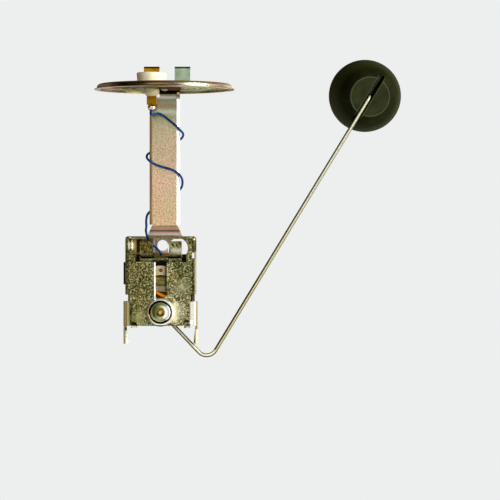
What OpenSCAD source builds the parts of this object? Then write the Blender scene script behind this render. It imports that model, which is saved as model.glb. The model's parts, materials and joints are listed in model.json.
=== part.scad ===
// Float level sensor for a fuel tank: a pressed flange with two spade terminals, a channel stem
// with the lead wound round it, a pressed resistor case, and a wire arm with a moulded float.
// Millimetres. The origin is the centre of the flange's seat on the tank; +Z points out of the
// tank and the open side of the case faces -Y. The arm is drawn at its upper stop.

/* [Flange] */
// Outer diameter of the lip that seats on the tank
flange_d = 57.2; // [54:0.2:66]
// Width of the turned-out lip
lip_w = 1; // [0.8:0.1:1.6]
// Height of the flange's top over its seat
flange_h = 2.3; // [2:0.1:4]
// Drop of the web below the shoulder
web_drop = 0.7; // [0.5:0.1:0.9]
// Thickness of the flange sheet
flange_t = 1; // [0.8:0.1:1.2]
// Radius of the pressed shoulder
shoulder_r = 1.4; // [1.1:0.1:1.5]

/* [Terminals] */
// Width of a spade blade
blade_w = 6.3; // [4.8:0.1:6.5]
// Thickness of a spade blade
blade_t = 0.8; // [0.6:0.1:1]
// Height of the blades' top over the seat
blade_top = 9.4; // [8.6:0.1:14]
// Reach of the bent-over blades
blade_reach = 8.6; // [7:0.1:12]
// Inner radius of the bend of a blade
blade_bend = 0.5; // [0.4:0.1:1]
// Left-right place of the insulated terminal
terminal_x = -5.1; // [-5.4:0.1:-4.8]
// Front-back place of both terminals
terminal_y = -3.2; // [-3.4:0.1:-3]
// Left-right place of the earth blade
earth_x = 7.4; // [7:0.1:11]
// Diameter of the insulator's head
bush_head_d = 12.3; // [10:0.1:12.6]
// Height of the insulator's head
bush_head_h = 5.25; // [3:0.05:5.4]
// Diameter of the insulator's neck
bush_neck_d = 6.2; // [5.4:0.1:6.4]
// Reach of the insulator below the seat
bush_drop = 2.7; // [2.2:0.1:2.9]
// Width of the terminal's tail
tail_w = 4; // [3:0.1:4.4]
// Height of the tail's eye under the seat
eye_drop = 7.2; // [6.2:0.1:8]

/* [Stem] */
// Thickness of the bracket sheet
sheet_t = 0.9; // [0.7:0.1:1]
// Left edge of the stem
stem_left = -6.15; // [-6.6:0.05:-6]
// Right edge of the stem
stem_right = 6.3; // [6:0.1:6.8]
// Depth of the turned-back edges
stem_depth = 3.2; // [2.4:0.1:3.4]
// Outer radius of the stem's edges
stem_edge_r = 1.5; // [1.2:0.1:1.8]
// Distance from the seat to the start of the joggle
joggle_drop = 55.2; // [50:0.2:55.2]
// Step of the joggle
joggle_step = 3.6; // [3.4:0.1:3.8]

/* [Case] */
// Left side of the cover
case_left = -15.8; // [-17:0.1:-15.6]
// Right side of the cover
case_right = 13; // [12.8:0.1:14]
// Height of the cover
case_h = 36.4; // [36.2:0.1:38]
// Thickness of the cover sheet
cover_t = 0.7; // [0.5:0.1:0.8]
// Front plane of the cover
cover_y = -6; // [-6.4:0.1:-6]
// Outer radius of the cover's side edges
cover_edge_r = 1.6; // [1.2:0.1:2]
// Width of the sight slot
slot_w = 4.7; // [4:0.1:5]
// Diameter of the rod in the knuckles
rod_d = 1.9; // [1.6:0.1:2]
// Length of the stop lugs below the case
lug_h = 7.3; // [6:0.1:9]

/* [Arm] */
// Left-right place of the pivot
pivot_x = -1.5; // [-1.7:0.1:-1.3]
// Height of the pivot over the lower edge of the case
pivot_h = 5.5; // [5.5:0.1:6]
// Diameter of the arm wire
wire_d = 1.6; // [1.4:0.1:1.6]
// Pivot to the corner of the arm
leg1 = 28.2; // [26:0.2:40]
// Slope of the first leg below the level
leg1_angle = 46.5; // [45:0.5:50]
// Corner of the arm to the float's axis
leg2 = 126.9; // [100:1:160]
// Slope of the second leg above the level
leg2_angle = 58.7; // [50:0.1:70]
// Centreline radius of the arm's corner
corner_r = 4.3; // [3:0.1:6]
// Roll of the float about the second leg
float_roll = 9; // [0:1:15]

/* [Float] */
// Diameter of the float
float_d = 29.8; // [26:0.2:36]
// Length of the float between its flats
float_l = 24.6; // [20:0.2:25]
// Width of the slot for the wire
float_slot_w = 2.4; // [2:0.1:3]

/* [Resistor] */
// Inner radius of the winding
winding_in = 10.85; // [10.6:0.05:11.5]
// Outer radius of the winding
winding_out = 15.05; // [14.6:0.05:15.2]
// Half angle of the winding
winding_half = 50; // [46:1:51]
// Depth of the winding
winding_t = 1.8; // [1.4:0.1:1.8]
// Diameter of the lead
lead_d = 0.95; // [0.8:0.05:1]

/* [Hidden] */
$fn = 64;
// Overlap that makes two solids of one piece merge
weld = 0.02;
// Gap between pieces that sit side by side
seat_gap = 0.05;
// Radial gap of a shaft in its bearing
run_gap = 0.04;
// Radial gap of a piece pushed on a shaft
push_gap = 0.02;

// Flange
flange_r = flange_d / 2;
side_r = flange_r - lip_w;
web_top = flange_h - web_drop;
web_z = web_top - flange_t;
web_r = side_r - 7;
lip_in_r = side_r - flange_t;

// Terminals
neck_r = bush_neck_d / 2;
washer_r = neck_r + 0.8;
washer_t = 0.4;
head_top = web_top + bush_head_h;
blade_y0 = terminal_y - blade_t / 2;
blade_y1 = terminal_y + blade_t / 2;
tip_y = blade_y0 + blade_reach;
blade_hole_r = 0.8;
blade_corner = 1;
eye_r = 1.65;
eye_hole_r = 0.7;
rivet_x = 0.3;
rivet_y = -9;
rivet_r = 0.8;
rivet_head_r = 1.35;
rivet_head_h = 0.75;

// Stem bracket
foot_z1 = web_z;
foot_z0 = foot_z1 - sheet_t;
foot_front = rivet_y - 2.2;
foot_left = -2;
foot_right = stem_right + 0.4;
foot_bend = 1.2;
cut_top = -(bush_drop + 0.2);
bend_in = 0.4;
bend_out = bend_in + sheet_t;
joggle_z0 = -joggle_drop;
joggle_z1 = joggle_z0 - joggle_step - (bend_in + bend_out) * (sqrt(2) - 1);
tray_y = joggle_step;
tray_back = tray_y + sheet_t;
case_top = joggle_z1 - 0.2;
case_bottom = case_top - case_h;
tray_left = case_left + cover_t + seat_gap;
tray_right = case_right - cover_t - seat_gap;
tray_corner_r = 2.4;
tray_front = cover_y + cover_t + 0.9;
tray_top = case_top - cover_t - seat_gap;
shoulder_w = 1;
wing_out = 0.7;
wing_left = case_left - wing_out;
wing_right = case_right + wing_out - 0.2;
wing_lip_left = 2.5;
wing_lip_right = 3.05;
wing_h = 9.9;
wing_top = case_bottom + wing_h;
notch_h = 2.8;
notch_top = wing_top + notch_h;
wing_corner_r = 1.6;
notch_left = [2.2, 4.7];
notch_left_h = 1.7;
arch_r = 1.6;
arch_h = 2.5;
arch_x = case_right - 3.75;
tongue_gap = 0.5;
tongue_lip_h = 1.4;

// Pivot and arm
pivot_z = case_bottom + pivot_h;
wire_r = wire_d / 2;
wire_y = 0.9;
stop_gap = 0.07;
lug_z = case_bottom - lug_h;
stop_reach = (pivot_z - lug_z) / tan(leg1_angle) + (wire_r + stop_gap) / sin(leg1_angle);
arm_turn = leg1_angle + leg2_angle;
corner_tangent = corner_r * tan(arm_turn / 2);
end_r = 1.8;
float_r = float_d / 2;
float_flat = -0.9;
float_mid = float_flat + float_l / 2;
float_back = float_flat + float_l;
float_slot_depth = 2.6;
float_slot_end = 10.1;
float_bore_r = wire_r + seat_gap;
clip_t = 0.4;
clip_r = 2.4;
tail_end = float_back + clip_t + 0.8;

// Spindle stack, front to back
cup_r = 4.1;
cup_t = 0.4;
floor_y = cover_y + 1.2;
floor_t = cover_t;
boss_r = 4.55;
boss_rim_r = 5.4;
boss_rim_h = 0.9;
bush_r = 1.9;
bush_flange_r = 2.6;
bush_flange_t = 0.3;
journal_r = 1.25;
tip_r = 0.9;
shaft_r = 1.5;
tip_front = cover_y - 0.55;
cup_seat = floor_y - 0.25;
wiper_front = floor_y + floor_t + bush_flange_t + 0.3;
wiper_t = 0.3;
hub_r = 2.6;
boss_front = wire_y - 1.3;
boss_back = wire_y + 1.2;
boss_wheel_r = 3.2;
clamp_t = 0.65;
clamp_back = boss_back + clamp_t;
rear_flange_y = clamp_back + 0.2;
spindle_end = tray_back + 1.2;
rear_clip_y = tray_back + 0.2;

// Resistor stack
winding_front = wiper_front + wiper_t + 0.4;
winding_back = winding_front + winding_t;
holder_back = winding_back + 0.6;
holder_in = winding_in - 2.45;
holder_out = winding_out + 3.85;
rib_front = winding_front - 1.8;
inner_rib_front = winding_front + 0.2;
base_t = 0.9;
base_back = holder_back + base_t;
base_left = tray_left + sheet_t + seat_gap;
base_right = tray_right - sheet_t - seat_gap;
base_top = case_top - 10.2;
base_bottom = pivot_z + 6.6;
lug_top = base_top - 0.3;
lug_bottom = lug_top - 9.1;
lug_front = holder_back - 2.1;
lug_out = 0.8;
horn_w = 1.5;
horn_gap = 0.06;
cheek_w = 1.7;
post_r = 1.3;
post_x = 8.3;
post_z = pivot_z + 17.6;
stake_r = 0.9;
rivet_up = 17.1;

// Cover openings
window_top = case_top - 1.1;
window_step = case_top - 6;
window_low = case_top - 10.45;
window_left = case_left + 0.6;
window_left_low = case_left + 4;
window_right = case_right - 3.8;
hole_big = [5.35, -4.9];
hole_big_r = 4.15;
hole_small = [-0.85, -3.7];
hole_small_r = 2.2;
rim_gap = 0.55;
rod_r = rod_d / 2;
rod_y = cover_y + cover_t;
rod_z = window_low + rod_r + cover_t;
knuckle_r = rod_r + cover_t;
horn_top = rod_z + 1.5;
tab_left = [-9.75, -4.65];
tab_right = [2.04, 7.2];
tab_top = case_top - 2;
knuckle_groove = 0.8;
top_r = 1.2;
slot_x = -1.2;
slot_end = case_top - 25.5;
edge_notch = [-6.7, -9];
edge_notch_in = 1.8;
cable_notch = [-8.3, -5.6];

// Points along an arc
function arc_points(c, r, a0, a1, n) =
    [for (i = [0:n]) let (a = a0 + (a1 - a0) * i / n) [c[0] + r * cos(a), c[1] + r * sin(a)]];

// Box between two values on each axis
module box(x, y, z) {
    translate([x[0], y[0], z[0]]) cube([x[1] - x[0], y[1] - y[0], z[1] - z[0]]);
}

// Outline in X and Z, extruded along Y
module front_cut(y0, y1) {
    translate([0, y1, 0]) rotate([90, 0, 0]) linear_extrude(y1 - y0) children();
}

// Outline in Y and Z, extruded along X
module side_cut(x0, x1) {
    translate([x0, 0, 0]) rotate([90, 0, 90]) linear_extrude(x1 - x0) children();
}

// Profile of radius and Y, turned about an axis along Y
module lathe_y(x, z) {
    translate([x, 0, z]) rotate([-90, 0, 0]) rotate_extrude() children();
}

// Profile of radius and Y, turned about the pivot to both sides of the vertical
module sector(half) {
    translate([pivot_x, 0, pivot_z]) rotate([-90, 0, 0]) rotate([0, 0, -90 - half])
        rotate_extrude(angle = 2 * half) children();
}

// Cylinder along Y
module pin_y(x, z, r, y0, y1) {
    translate([x, y0, z]) rotate([-90, 0, 0]) cylinder(h = y1 - y0, r = r);
}

// Cylinder along Z
module pin_z(x, y, r, z0, z1) {
    translate([x, y, z0]) cylinder(h = z1 - z0, r = r);
}

// Rectangle in X and Y with its two front corners rounded
module soft_front(x0, x1, y0, y1, r) {
    translate([x0, y0 + r]) square([x1 - x0, y1 - y0 - r]);
    translate([x0 + r, y0]) square([x1 - x0 - 2 * r, r + weld]);
    translate([x0 + r, y0 + r]) circle(r);
    translate([x1 - r, y0 + r]) circle(r);
}

// Section of a sheet folded back along both edges
module channel_section(x0, x1, y0, y1, t, r) {
    difference() {
        soft_front(x0, x1, y0, y1, r);
        soft_front(x0 + t, x1 - t, y0 + t, y1 + 1, r - t);
    }
}

module flange_plate() {
    shoulder = [side_r - shoulder_r, flange_h - shoulder_r];
    outer = arc_points(shoulder, shoulder_r, 90, 0, 6);
    inner = arc_points(shoulder, shoulder_r - flange_t, 0, 90, 4);
    lip_z = min(0.45, shoulder[1] - 0.1);
    color([0.72, 0.70, 0.55]) difference() {
        rotate_extrude() polygon(concat([[0, web_top], [web_r, web_top],
            [web_r + 1.6, flange_h]], outer,
            [[side_r + 0.3, lip_z], [flange_r, lip_z * 0.8], [flange_r, 0], [lip_in_r, 0]],
            inner, [[web_r + 1.9, flange_h - flange_t], [web_r + 0.3, web_z], [0, web_z]]));
        pin_z(terminal_x, terminal_y, neck_r + seat_gap, web_z - 1, flange_h + 1);
        pin_z(rivet_x, rivet_y, rivet_r + seat_gap, web_z - 1, flange_h + 1);
    }
}

module terminal_bush() {
    head_r = bush_head_d / 2;
    tip_z = -bush_drop;
    round_z = -bush_drop + 1.5;
    color([0.86, 0.82, 0.69]) difference() {
        translate([terminal_x, terminal_y, 0]) rotate_extrude() polygon([
            [0, head_top], [head_r - 0.3, head_top], [head_r, head_top - 0.3],
            [head_r - 0.5, web_top], [neck_r, web_top], [neck_r, round_z],
            [neck_r * 0.94, round_z - 0.6], [neck_r * 0.78, tip_z + 0.35],
            [neck_r * 0.62, tip_z], [0, tip_z]]);
        box([terminal_x - tail_w / 2 - seat_gap, terminal_x + tail_w / 2 + seat_gap],
            [blade_y0 - seat_gap, blade_y1 + seat_gap], [tip_z - 1, head_top + 1]);
    }
}

// Push-on washer with a ring of teeth that grip the insulator's neck
module bush_washer() {
    teeth = 8;
    color([0.22, 0.20, 0.15]) difference() {
        pin_z(terminal_x, terminal_y, washer_r, web_z - washer_t, web_z);
        pin_z(terminal_x, terminal_y, neck_r, web_z - 1, web_z + 1);
        for (i = [0:teeth - 1])
            translate([terminal_x, terminal_y, web_z - 1]) rotate([0, 0, 360 / teeth * i])
                translate([neck_r - 0.1, -0.3, 0]) cube([0.4, 0.6, 2]);
    }
}

// Blade that stands on z0, bends back at its top and ends in a chamfered tip with a hole
module bent_blade(x, z0) {
    bend_r = blade_bend + blade_t;
    bend_c = [blade_y0 + bend_r, blade_top - bend_r];
    difference() {
        side_cut(x - blade_w / 2, x + blade_w / 2) {
            translate([blade_y0, z0]) square([blade_t, bend_c[1] - z0 + weld]);
            translate([bend_c[0] - weld, blade_top - blade_t])
                square([tip_y - bend_c[0] + weld, blade_t]);
            intersection() {
                difference() {
                    translate(bend_c) circle(bend_r);
                    translate(bend_c) circle(blade_bend);
                }
                translate([blade_y0, bend_c[1]]) square(bend_r);
            }
        }
        pin_z(x, tip_y - 3, blade_hole_r, blade_top - 2, blade_top + 1);
        for (side = [-1, 1])
            translate([x + side * blade_w / 2, tip_y, blade_top - 2]) rotate([0, 0, 45])
                cube([blade_corner * sqrt(2), blade_corner * sqrt(2), 6], center = true);
    }
}

module terminal_blade() {
    color([0.72, 0.55, 0.16]) {
        bent_blade(terminal_x, head_top);
        box([terminal_x - tail_w / 2, terminal_x + tail_w / 2], [blade_y0, blade_y1],
            [-eye_drop + 1, head_top + weld]);
        difference() {
            pin_y(terminal_x, -eye_drop, eye_r, blade_y0, blade_y1);
            pin_y(terminal_x, -eye_drop, eye_hole_r, blade_y0 - 1, blade_y1 + 1);
        }
    }
}

// Solder that fills the eye and stands on its front as a low dome
module terminal_solder() {
    dome_h = 0.9;
    color([0.78, 0.78, 0.76]) {
        lathe_y(terminal_x, -eye_drop) polygon(concat([[0, blade_y0]],
            [[1.4, blade_y0], [1.3, blade_y0 - 0.4]],
            [[0.9, blade_y0 - 0.75], [0.4, blade_y0 - dome_h], [0, blade_y0 - dome_h]]));
        pin_y(terminal_x, -eye_drop, eye_hole_r, blade_y0 - weld, blade_y1 + 0.3);
    }
}

module earth_blade() {
    rivet_land = 1.9;
    color([0.60, 0.67, 0.56]) {
        bent_blade(earth_x, web_top);
        difference() {
            box([rivet_x - rivet_land, earth_x + blade_w / 2], [rivet_y - rivet_land, blade_y0 + weld],
                [web_top, web_top + blade_t]);
            pin_z(rivet_x, rivet_y, rivet_r + seat_gap, web_top - 1, web_top + 2);
            pin_z(terminal_x, terminal_y, bush_head_d / 2 + 0.3, web_top - 1, web_top + 2);
        }
        box([earth_x - blade_w / 2, earth_x + blade_w / 2], [blade_y0, blade_y1],
            [web_top, web_top + blade_t]);
    }
}

// Domed head below, shank through the stack, flat head above
module flange_rivet() {
    low = foot_z0;
    high = web_top + blade_t;
    color([0.75, 0.76, 0.70]) translate([rivet_x, rivet_y, 0]) rotate_extrude() polygon([
        [0, low - rivet_head_h], [0.5, low - rivet_head_h * 0.93], [0.95, low - rivet_head_h * 0.68],
        [1.25, low - rivet_head_h * 0.3], [rivet_head_r, low], [rivet_r, low], [rivet_r, high],
        [rivet_head_r, high], [rivet_head_r, high + 0.35], [0, high + 0.35]]);
}

// Foot under the flange, bent down into the face of the stem
module stem_foot() {
    bend_c = [-foot_bend, foot_z0 - foot_bend];
    difference() {
        union() {
            box([foot_left, foot_right], [foot_front, bend_c[0] + weld], [foot_z0, foot_z1]);
            side_cut(foot_left, stem_right) {
                intersection() {
                    difference() {
                        translate(bend_c) circle(foot_bend + sheet_t);
                        translate(bend_c) circle(foot_bend);
                    }
                    translate(bend_c) square(foot_bend + sheet_t);
                }
                translate([0, cut_top - 1]) square([sheet_t, bend_c[1] - cut_top + 1 + weld]);
            }
        }
        pin_z(terminal_x, terminal_y, washer_r + 0.2, foot_z0 - 3, foot_z1 + 1);
        pin_z(rivet_x, rivet_y, rivet_r + seat_gap, foot_z0 - 1, foot_z1 + 1);
    }
}

// Side profile of the step from the stem back to the tray
module joggle_profile() {
    upper_c = [bend_out, joggle_z0];
    lower_c = [joggle_step - bend_in, joggle_z1];
    polygon(concat([[0, joggle_z0 + 2]], arc_points(upper_c, bend_out, 180, 225, 4),
        arc_points(lower_c, bend_in, 45, 0, 3), [[tray_y, tray_top - 1]],
        [[tray_back, tray_top - 1]], arc_points(lower_c, bend_out, 0, 45, 4),
        arc_points(upper_c, bend_in, 225, 180, 3), [[sheet_t, joggle_z0 + 2]]));
}

// Section of the tray: a flat back with both sides turned forward
module tray_section() {
    mirror([0, 1]) channel_section(tray_left, tray_right, -tray_back, -tray_front, sheet_t,
        tray_corner_r);
}

// Section of the wings: the tray's lower sides, folded over the cover's face
module wing_section() {
    lip_front = cover_y - sheet_t;
    difference() {
        union() {
            soft_front(wing_left, wing_right, lip_front, 0, wing_corner_r);
            mirror([0, 1]) soft_front(wing_left, wing_right, -tray_back, weld, wing_corner_r);
        }
        soft_front(wing_left + sheet_t, wing_right - sheet_t, cover_y, 0, wing_corner_r - sheet_t);
        mirror([0, 1]) soft_front(wing_left + sheet_t, wing_right - sheet_t, -tray_y, weld * 2,
            wing_corner_r - sheet_t);
        translate([wing_left + wing_lip_left, lip_front - 1])
            square([wing_right - wing_left - wing_lip_left - wing_lip_right, sheet_t + 1 + weld]);
    }
}

// Stop lug on one side: a straight front strip and a rear tongue that leans in to the arm
module stop_lug(wall_out, wall_in, stop_x) {
    side = sign(wall_out - wall_in);
    x_low = min(wall_out, wall_in);
    box([x_low, x_low + sheet_t], [cover_y + 1, wire_y - 1.5], [lug_z, case_bottom + 0.5]);
    front_cut(wire_y - 1.3, wire_y + 1.5) polygon([[wall_in, case_bottom + 0.5],
        [wall_out, case_bottom + 0.5], [wall_out, case_bottom], [stop_x + side * sheet_t, lug_z],
        [stop_x, lug_z], [wall_in, case_bottom]]);
}

// Tongue under a lower corner of the case, turned up into a notch of the cover
module corner_tongue(x0, x1, lip_h) {
    front = cover_y - 0.2;
    box([x0, x1], [front, tray_back], [case_bottom - sheet_t, case_bottom - seat_gap]);
    box([x0, x1], [tray_y, tray_back], [case_bottom - seat_gap - weld, case_bottom + 0.5]);
    box([x0, x1], [front, front + sheet_t], [case_bottom - seat_gap - weld, case_bottom + lip_h]);
}

module stem_bracket() {
    lug_slot_gap = 0.1;
    color([0.80, 0.72, 0.58]) difference() {
        union() {
            stem_foot();
            translate([0, 0, joggle_z0 + 0.3]) linear_extrude(cut_top - joggle_z0 - 0.3)
                channel_section(stem_left, stem_right, 0, stem_depth, sheet_t, stem_edge_r);
            intersection() {
                side_cut(tray_left - 1, tray_right + 1) joggle_profile();
                front_cut(-1, tray_back + 1) polygon([[stem_left + stem_edge_r, joggle_z0 + 1],
                    [stem_left + 0.6, joggle_z0 - 1], [stem_left - shoulder_w, case_top],
                    [stem_left - shoulder_w, tray_top - 1], [stem_right + shoulder_w, tray_top - 1],
                    [stem_right + shoulder_w, case_top], [stem_right - 0.6, joggle_z0 - 1],
                    [stem_right - stem_edge_r, joggle_z0 + 1]]);
            }
            translate([0, 0, notch_top]) linear_extrude(tray_top - notch_top) tray_section();
            box([tray_left, tray_right], [tray_y, tray_back], [wing_top, notch_top + weld]);
            translate([0, 0, case_bottom]) linear_extrude(wing_h) wing_section();
            stop_lug(wing_right, wing_right - sheet_t, pivot_x + stop_reach);
            stop_lug(wing_left, wing_left + sheet_t, pivot_x - stop_reach);
            corner_tongue(case_left + notch_left[0] + 0.2, case_left + notch_left[1] - 0.2, 0.3);
            corner_tongue(arch_x - arch_r + tongue_gap, arch_x + arch_r - tongue_gap, tongue_lip_h);
        }
        pin_y(hole_big[0], case_top + hole_big[1], hole_big_r, tray_y - 1, tray_back + 1);
        pin_y(hole_small[0], case_top + hole_small[1], hole_small_r, tray_y - 1, tray_back + 1);
        pin_y(pivot_x, pivot_z, bush_r + seat_gap, tray_y - 1, tray_back + 1);
        for (side = [-1, 1])
            pin_y(pivot_x + side * post_x, post_z, stake_r + seat_gap, tray_y - 1, tray_back + 1);
        box([case_right - edge_notch_in, case_right + 1], [tray_front - 1, tray_back + 1],
            [case_top + edge_notch[1], case_top + edge_notch[0]]);
        box([tray_left - 1, tray_left + sheet_t + 1], [lug_front - lug_slot_gap,
            base_back + lug_slot_gap], [lug_bottom - lug_slot_gap, lug_top + lug_slot_gap]);
    }
}

// Tongue of the cover's face, curled round the rod and ending in an up-tab
module curled_tab(span) {
    side_cut(span[0], span[1]) difference() {
        union() {
            translate([rod_y - cover_t, window_low - 0.5])
                square([cover_t, tab_top - window_low + 0.5]);
            intersection() {
                translate([rod_y, rod_z]) circle(knuckle_r);
                translate([rod_y - knuckle_r - 1, rod_z - knuckle_r])
                    square([knuckle_r + 1, 2 * knuckle_r]);
            }
        }
        translate([rod_y, rod_z]) circle(rod_r);
        translate([rod_y - knuckle_r - 1, rod_z - knuckle_groove / 2])
            square([1 + cover_t * 0.6, knuckle_groove]);
    }
}

// Raised ring round the pivot with a recessed floor that carries the front bush
module pivot_boss() {
    inner_y = cover_y + cover_t;
    lathe_y(pivot_x, pivot_z) polygon([
        [bush_r + seat_gap, floor_y], [boss_r, floor_y], [boss_r + 0.05, cover_y - 0.5],
        [boss_r + 0.2, cover_y - 0.8], [boss_r + 0.45, cover_y - boss_rim_h],
        [boss_rim_r - 0.2, cover_y - 0.6], [boss_rim_r, cover_y - 0.2], [boss_rim_r + 0.3, cover_y],
        [boss_rim_r + 0.3, inner_y], [boss_r + cover_t, inner_y], [boss_r + cover_t, floor_y + floor_t],
        [bush_r + seat_gap, floor_y + floor_t]]);
}

// Openings of the cover's face, as an outline in X and Z
module face_openings() {
    slot_r = slot_w / 2;
    translate([window_left, window_step])
        square([hole_big[0] + 2 - window_left, window_top - window_step]);
    translate([window_left_low, window_low])
        square([window_right - window_left_low, window_step - window_low + weld]);
    intersection() {
        translate([hole_big[0], case_top + hole_big[1]]) circle(hole_big_r + rim_gap);
        translate([window_left, window_low]) square([40, window_top - window_low]);
    }
    translate([slot_x - slot_r, slot_end + slot_r]) square([slot_w, window_low - slot_end - slot_r + 1]);
    translate([slot_x, slot_end + slot_r]) circle(slot_r);
    translate([case_left + notch_left[0], case_bottom - 1])
        square([notch_left[1] - notch_left[0], notch_left_h + 1]);
    translate([arch_x - arch_r, case_bottom - 1]) square([2 * arch_r, 1 + arch_h - arch_r]);
    translate([arch_x, case_bottom + arch_h - arch_r]) circle(arch_r);
    translate([case_left + 1.9, case_top - 0.9]) circle(0.8);
    translate([case_right - 1.9, case_top - 0.9]) circle(0.8);
    translate([window_left_low - weld, window_step - 0.4]) square([0.4, 0.4 + weld]);
}

module case_cover() {
    inner_y = cover_y + cover_t;
    face_left = wing_left + wing_corner_r + seat_gap;
    face_right = wing_right - wing_corner_r - seat_gap;
    color([0.58, 0.57, 0.40]) {
        difference() {
            union() {
                translate([0, 0, notch_top]) linear_extrude(case_top - notch_top)
                    channel_section(case_left, case_right, cover_y, tray_y - 0.1, cover_t,
                        cover_edge_r);
                translate([0, 0, case_top - cover_t]) linear_extrude(cover_t)
                    soft_front(case_left, case_right, cover_y, tray_y - 0.5, cover_edge_r);
                box([face_left + 1, face_right - 1], [cover_y, inner_y],
                    [wing_top - weld, notch_top + weld]);
                box([face_left, face_right], [cover_y, inner_y], [case_bottom, wing_top]);
            }
            front_cut(cover_y - 1, inner_y + 0.1) face_openings();
            side_cut(case_left - 1, case_right + 1) difference() {
                translate([cover_y - 1, case_top - top_r]) square(top_r + 1);
                translate([cover_y + top_r, case_top - top_r]) circle(top_r);
            }
            for (side = [-1, 1])
                translate([side < 0 ? case_left : case_right, 0, 0]) front_cut(cover_y - 1, tray_y)
                    difference() {
                        translate([side < 0 ? -1 : -top_r, case_top - top_r])
                            square(top_r + 1);
                        translate([-side * top_r, case_top - top_r]) circle(top_r);
                    }
            pin_y(pivot_x, pivot_z, boss_rim_r + 0.1, cover_y - 1, inner_y + 1);
            box([cable_notch[0], cable_notch[1]], [cover_y - 1, cover_y + 4],
                [window_top - weld, case_top + 1]);
            box([case_right - edge_notch_in, case_right + 1], [cover_y - 1, cover_y + cover_edge_r],
                [case_top + edge_notch[1], case_top + edge_notch[0]]);
            box([case_left - 1, case_left + cover_t + 0.1], [lug_front - 0.1, base_back + 0.1],
                [lug_bottom - 0.1, lug_top + 0.1]);
        }
        pivot_boss();
        curled_tab(tab_left);
        curled_tab(tab_right);
    }
}

module cross_rod() {
    color([0.55, 0.53, 0.35]) translate([tab_left[0], rod_y, rod_z]) rotate([0, 90, 0])
        cylinder(h = tab_right[1] - tab_left[0], r = rod_r);
}

// Moulded base behind the resistor: plate, top rib, side lug, staked posts
module resistor_base() {
    color([0.06, 0.06, 0.06]) {
        difference() {
            box([base_left, base_right], [holder_back, base_back], [base_bottom, base_top]);
            pin_y(pivot_x, pivot_z, holder_in + 0.2, holder_back - 1, base_back + 1);
            pin_y(pivot_x, pivot_z + rivet_up, 0.5, holder_back - 1, base_back + 1);
        }
        difference() {
            box([base_left, base_right], [rib_front, holder_back + weld],
                [pivot_z + winding_out, base_top]);
            pin_y(pivot_x, pivot_z, holder_out + seat_gap, rib_front - 1, holder_back + 1);
        }
        box([case_left - lug_out, base_left + weld], [lug_front, base_back], [lug_bottom, lug_top]);
        for (x = [tab_left[0] - horn_gap - horn_w, tab_right[1] + horn_gap])
            box([x, x + horn_w], [cover_y + cover_t + 0.1, holder_back], [base_top - 1, horn_top]);
        for (x = [base_left, base_right - cheek_w])
            box([x, x + cheek_w], [rib_front, base_back], [wing_top - 0.6, base_bottom + weld]);
        for (side = [-1, 1]) {
            pin_y(pivot_x + side * post_x, post_z, post_r, base_back - weld, tray_y);
            pin_y(pivot_x + side * post_x, post_z, stake_r, tray_y - weld, tray_back + 0.1);
            pin_y(pivot_x + side * post_x, post_z, stake_r + 0.5, tray_back, tray_back + 0.5);
        }
    }
}

// Curved holder with a channel for the wound element
module resistor_holder() {
    color([0.80, 0.75, 0.60]) difference() {
        intersection() {
            sector(winding_half + 9) {
                translate([holder_in, winding_back]) square([holder_out - holder_in,
                    holder_back - winding_back]);
                translate([holder_in, inner_rib_front])
                    square([winding_in - seat_gap - holder_in, winding_back - inner_rib_front + weld]);
                translate([winding_out + seat_gap, rib_front])
                    square([holder_out - winding_out - seat_gap, winding_back - rib_front + weld]);
            }
            box([base_left + seat_gap, base_right - seat_gap], [rib_front - 1, holder_back + 1],
                [base_bottom + seat_gap, base_top]);
        }
        pin_y(pivot_x, pivot_z + rivet_up, 0.5, rib_front - 1, holder_back + 1);
    }
}

module resistor_former() {
    card_in = winding_in + 0.45;
    card_out = winding_out - 0.45;
    card_t = winding_t - 0.7;
    color([0.45, 0.30, 0.16]) sector(winding_half + 1.5)
        translate([card_in, winding_front + 0.35]) square([card_out - card_in, card_t]);
}

// Resistance wire wound round the former
module resistor_winding() {
    color([0.42, 0.39, 0.24]) sector(winding_half) difference() {
        translate([winding_in, winding_front]) square([winding_out - winding_in, winding_t]);
        translate([winding_in + 0.45, winding_front + 0.35])
            square([winding_out - winding_in - 0.9, winding_t - 0.7]);
    }
}

// Tubular eyelet through holder and base
module holder_rivet() {
    color([0.42, 0.27, 0.12]) lathe_y(pivot_x + 0.2, pivot_z + rivet_up) polygon([
        [0, rib_front - 0.3], [0.45, rib_front - 0.28], [0.7, rib_front - 0.1], [0.75, rib_front],
        [0.3, rib_front], [0.3, base_back], [0.8, base_back], [0.8, base_back + 0.25],
        [0, base_back + 0.25]]);
}

module lead_solder() {
    color([0.75, 0.75, 0.72]) lathe_y(pivot_x + 0.2, pivot_z + rivet_up) polygon([
        [0, base_back + 0.25], [0.75, base_back + 0.25], [0.7, base_back + 0.7],
        [0.45, base_back + 1.05], [0, base_back + 1.15]]);
}

module front_bush() {
    color([0.66, 0.50, 0.20]) lathe_y(pivot_x, pivot_z) polygon([
        [journal_r + run_gap, floor_y], [bush_r, floor_y], [bush_r, floor_y + floor_t],
        [bush_flange_r, floor_y + floor_t], [bush_flange_r, floor_y + floor_t + bush_flange_t],
        [journal_r + run_gap, floor_y + floor_t + bush_flange_t]]);
}

module rear_bush() {
    color([0.66, 0.50, 0.20]) lathe_y(pivot_x, pivot_z) polygon([
        [journal_r + run_gap, rear_flange_y], [bush_flange_r, rear_flange_y],
        [bush_flange_r, tray_y], [bush_r, tray_y], [bush_r, tray_back],
        [journal_r + run_gap, tray_back]]);
}

// Shallow conical spring between the recessed floor and the cup
module spring_washer() {
    color([0.55, 0.52, 0.42]) lathe_y(pivot_x, pivot_z) polygon([
        [2.1, floor_y - 0.2], [3.6, floor_y - 0.12], [3.6, floor_y], [2.1, floor_y - 0.08]]);
}

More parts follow.
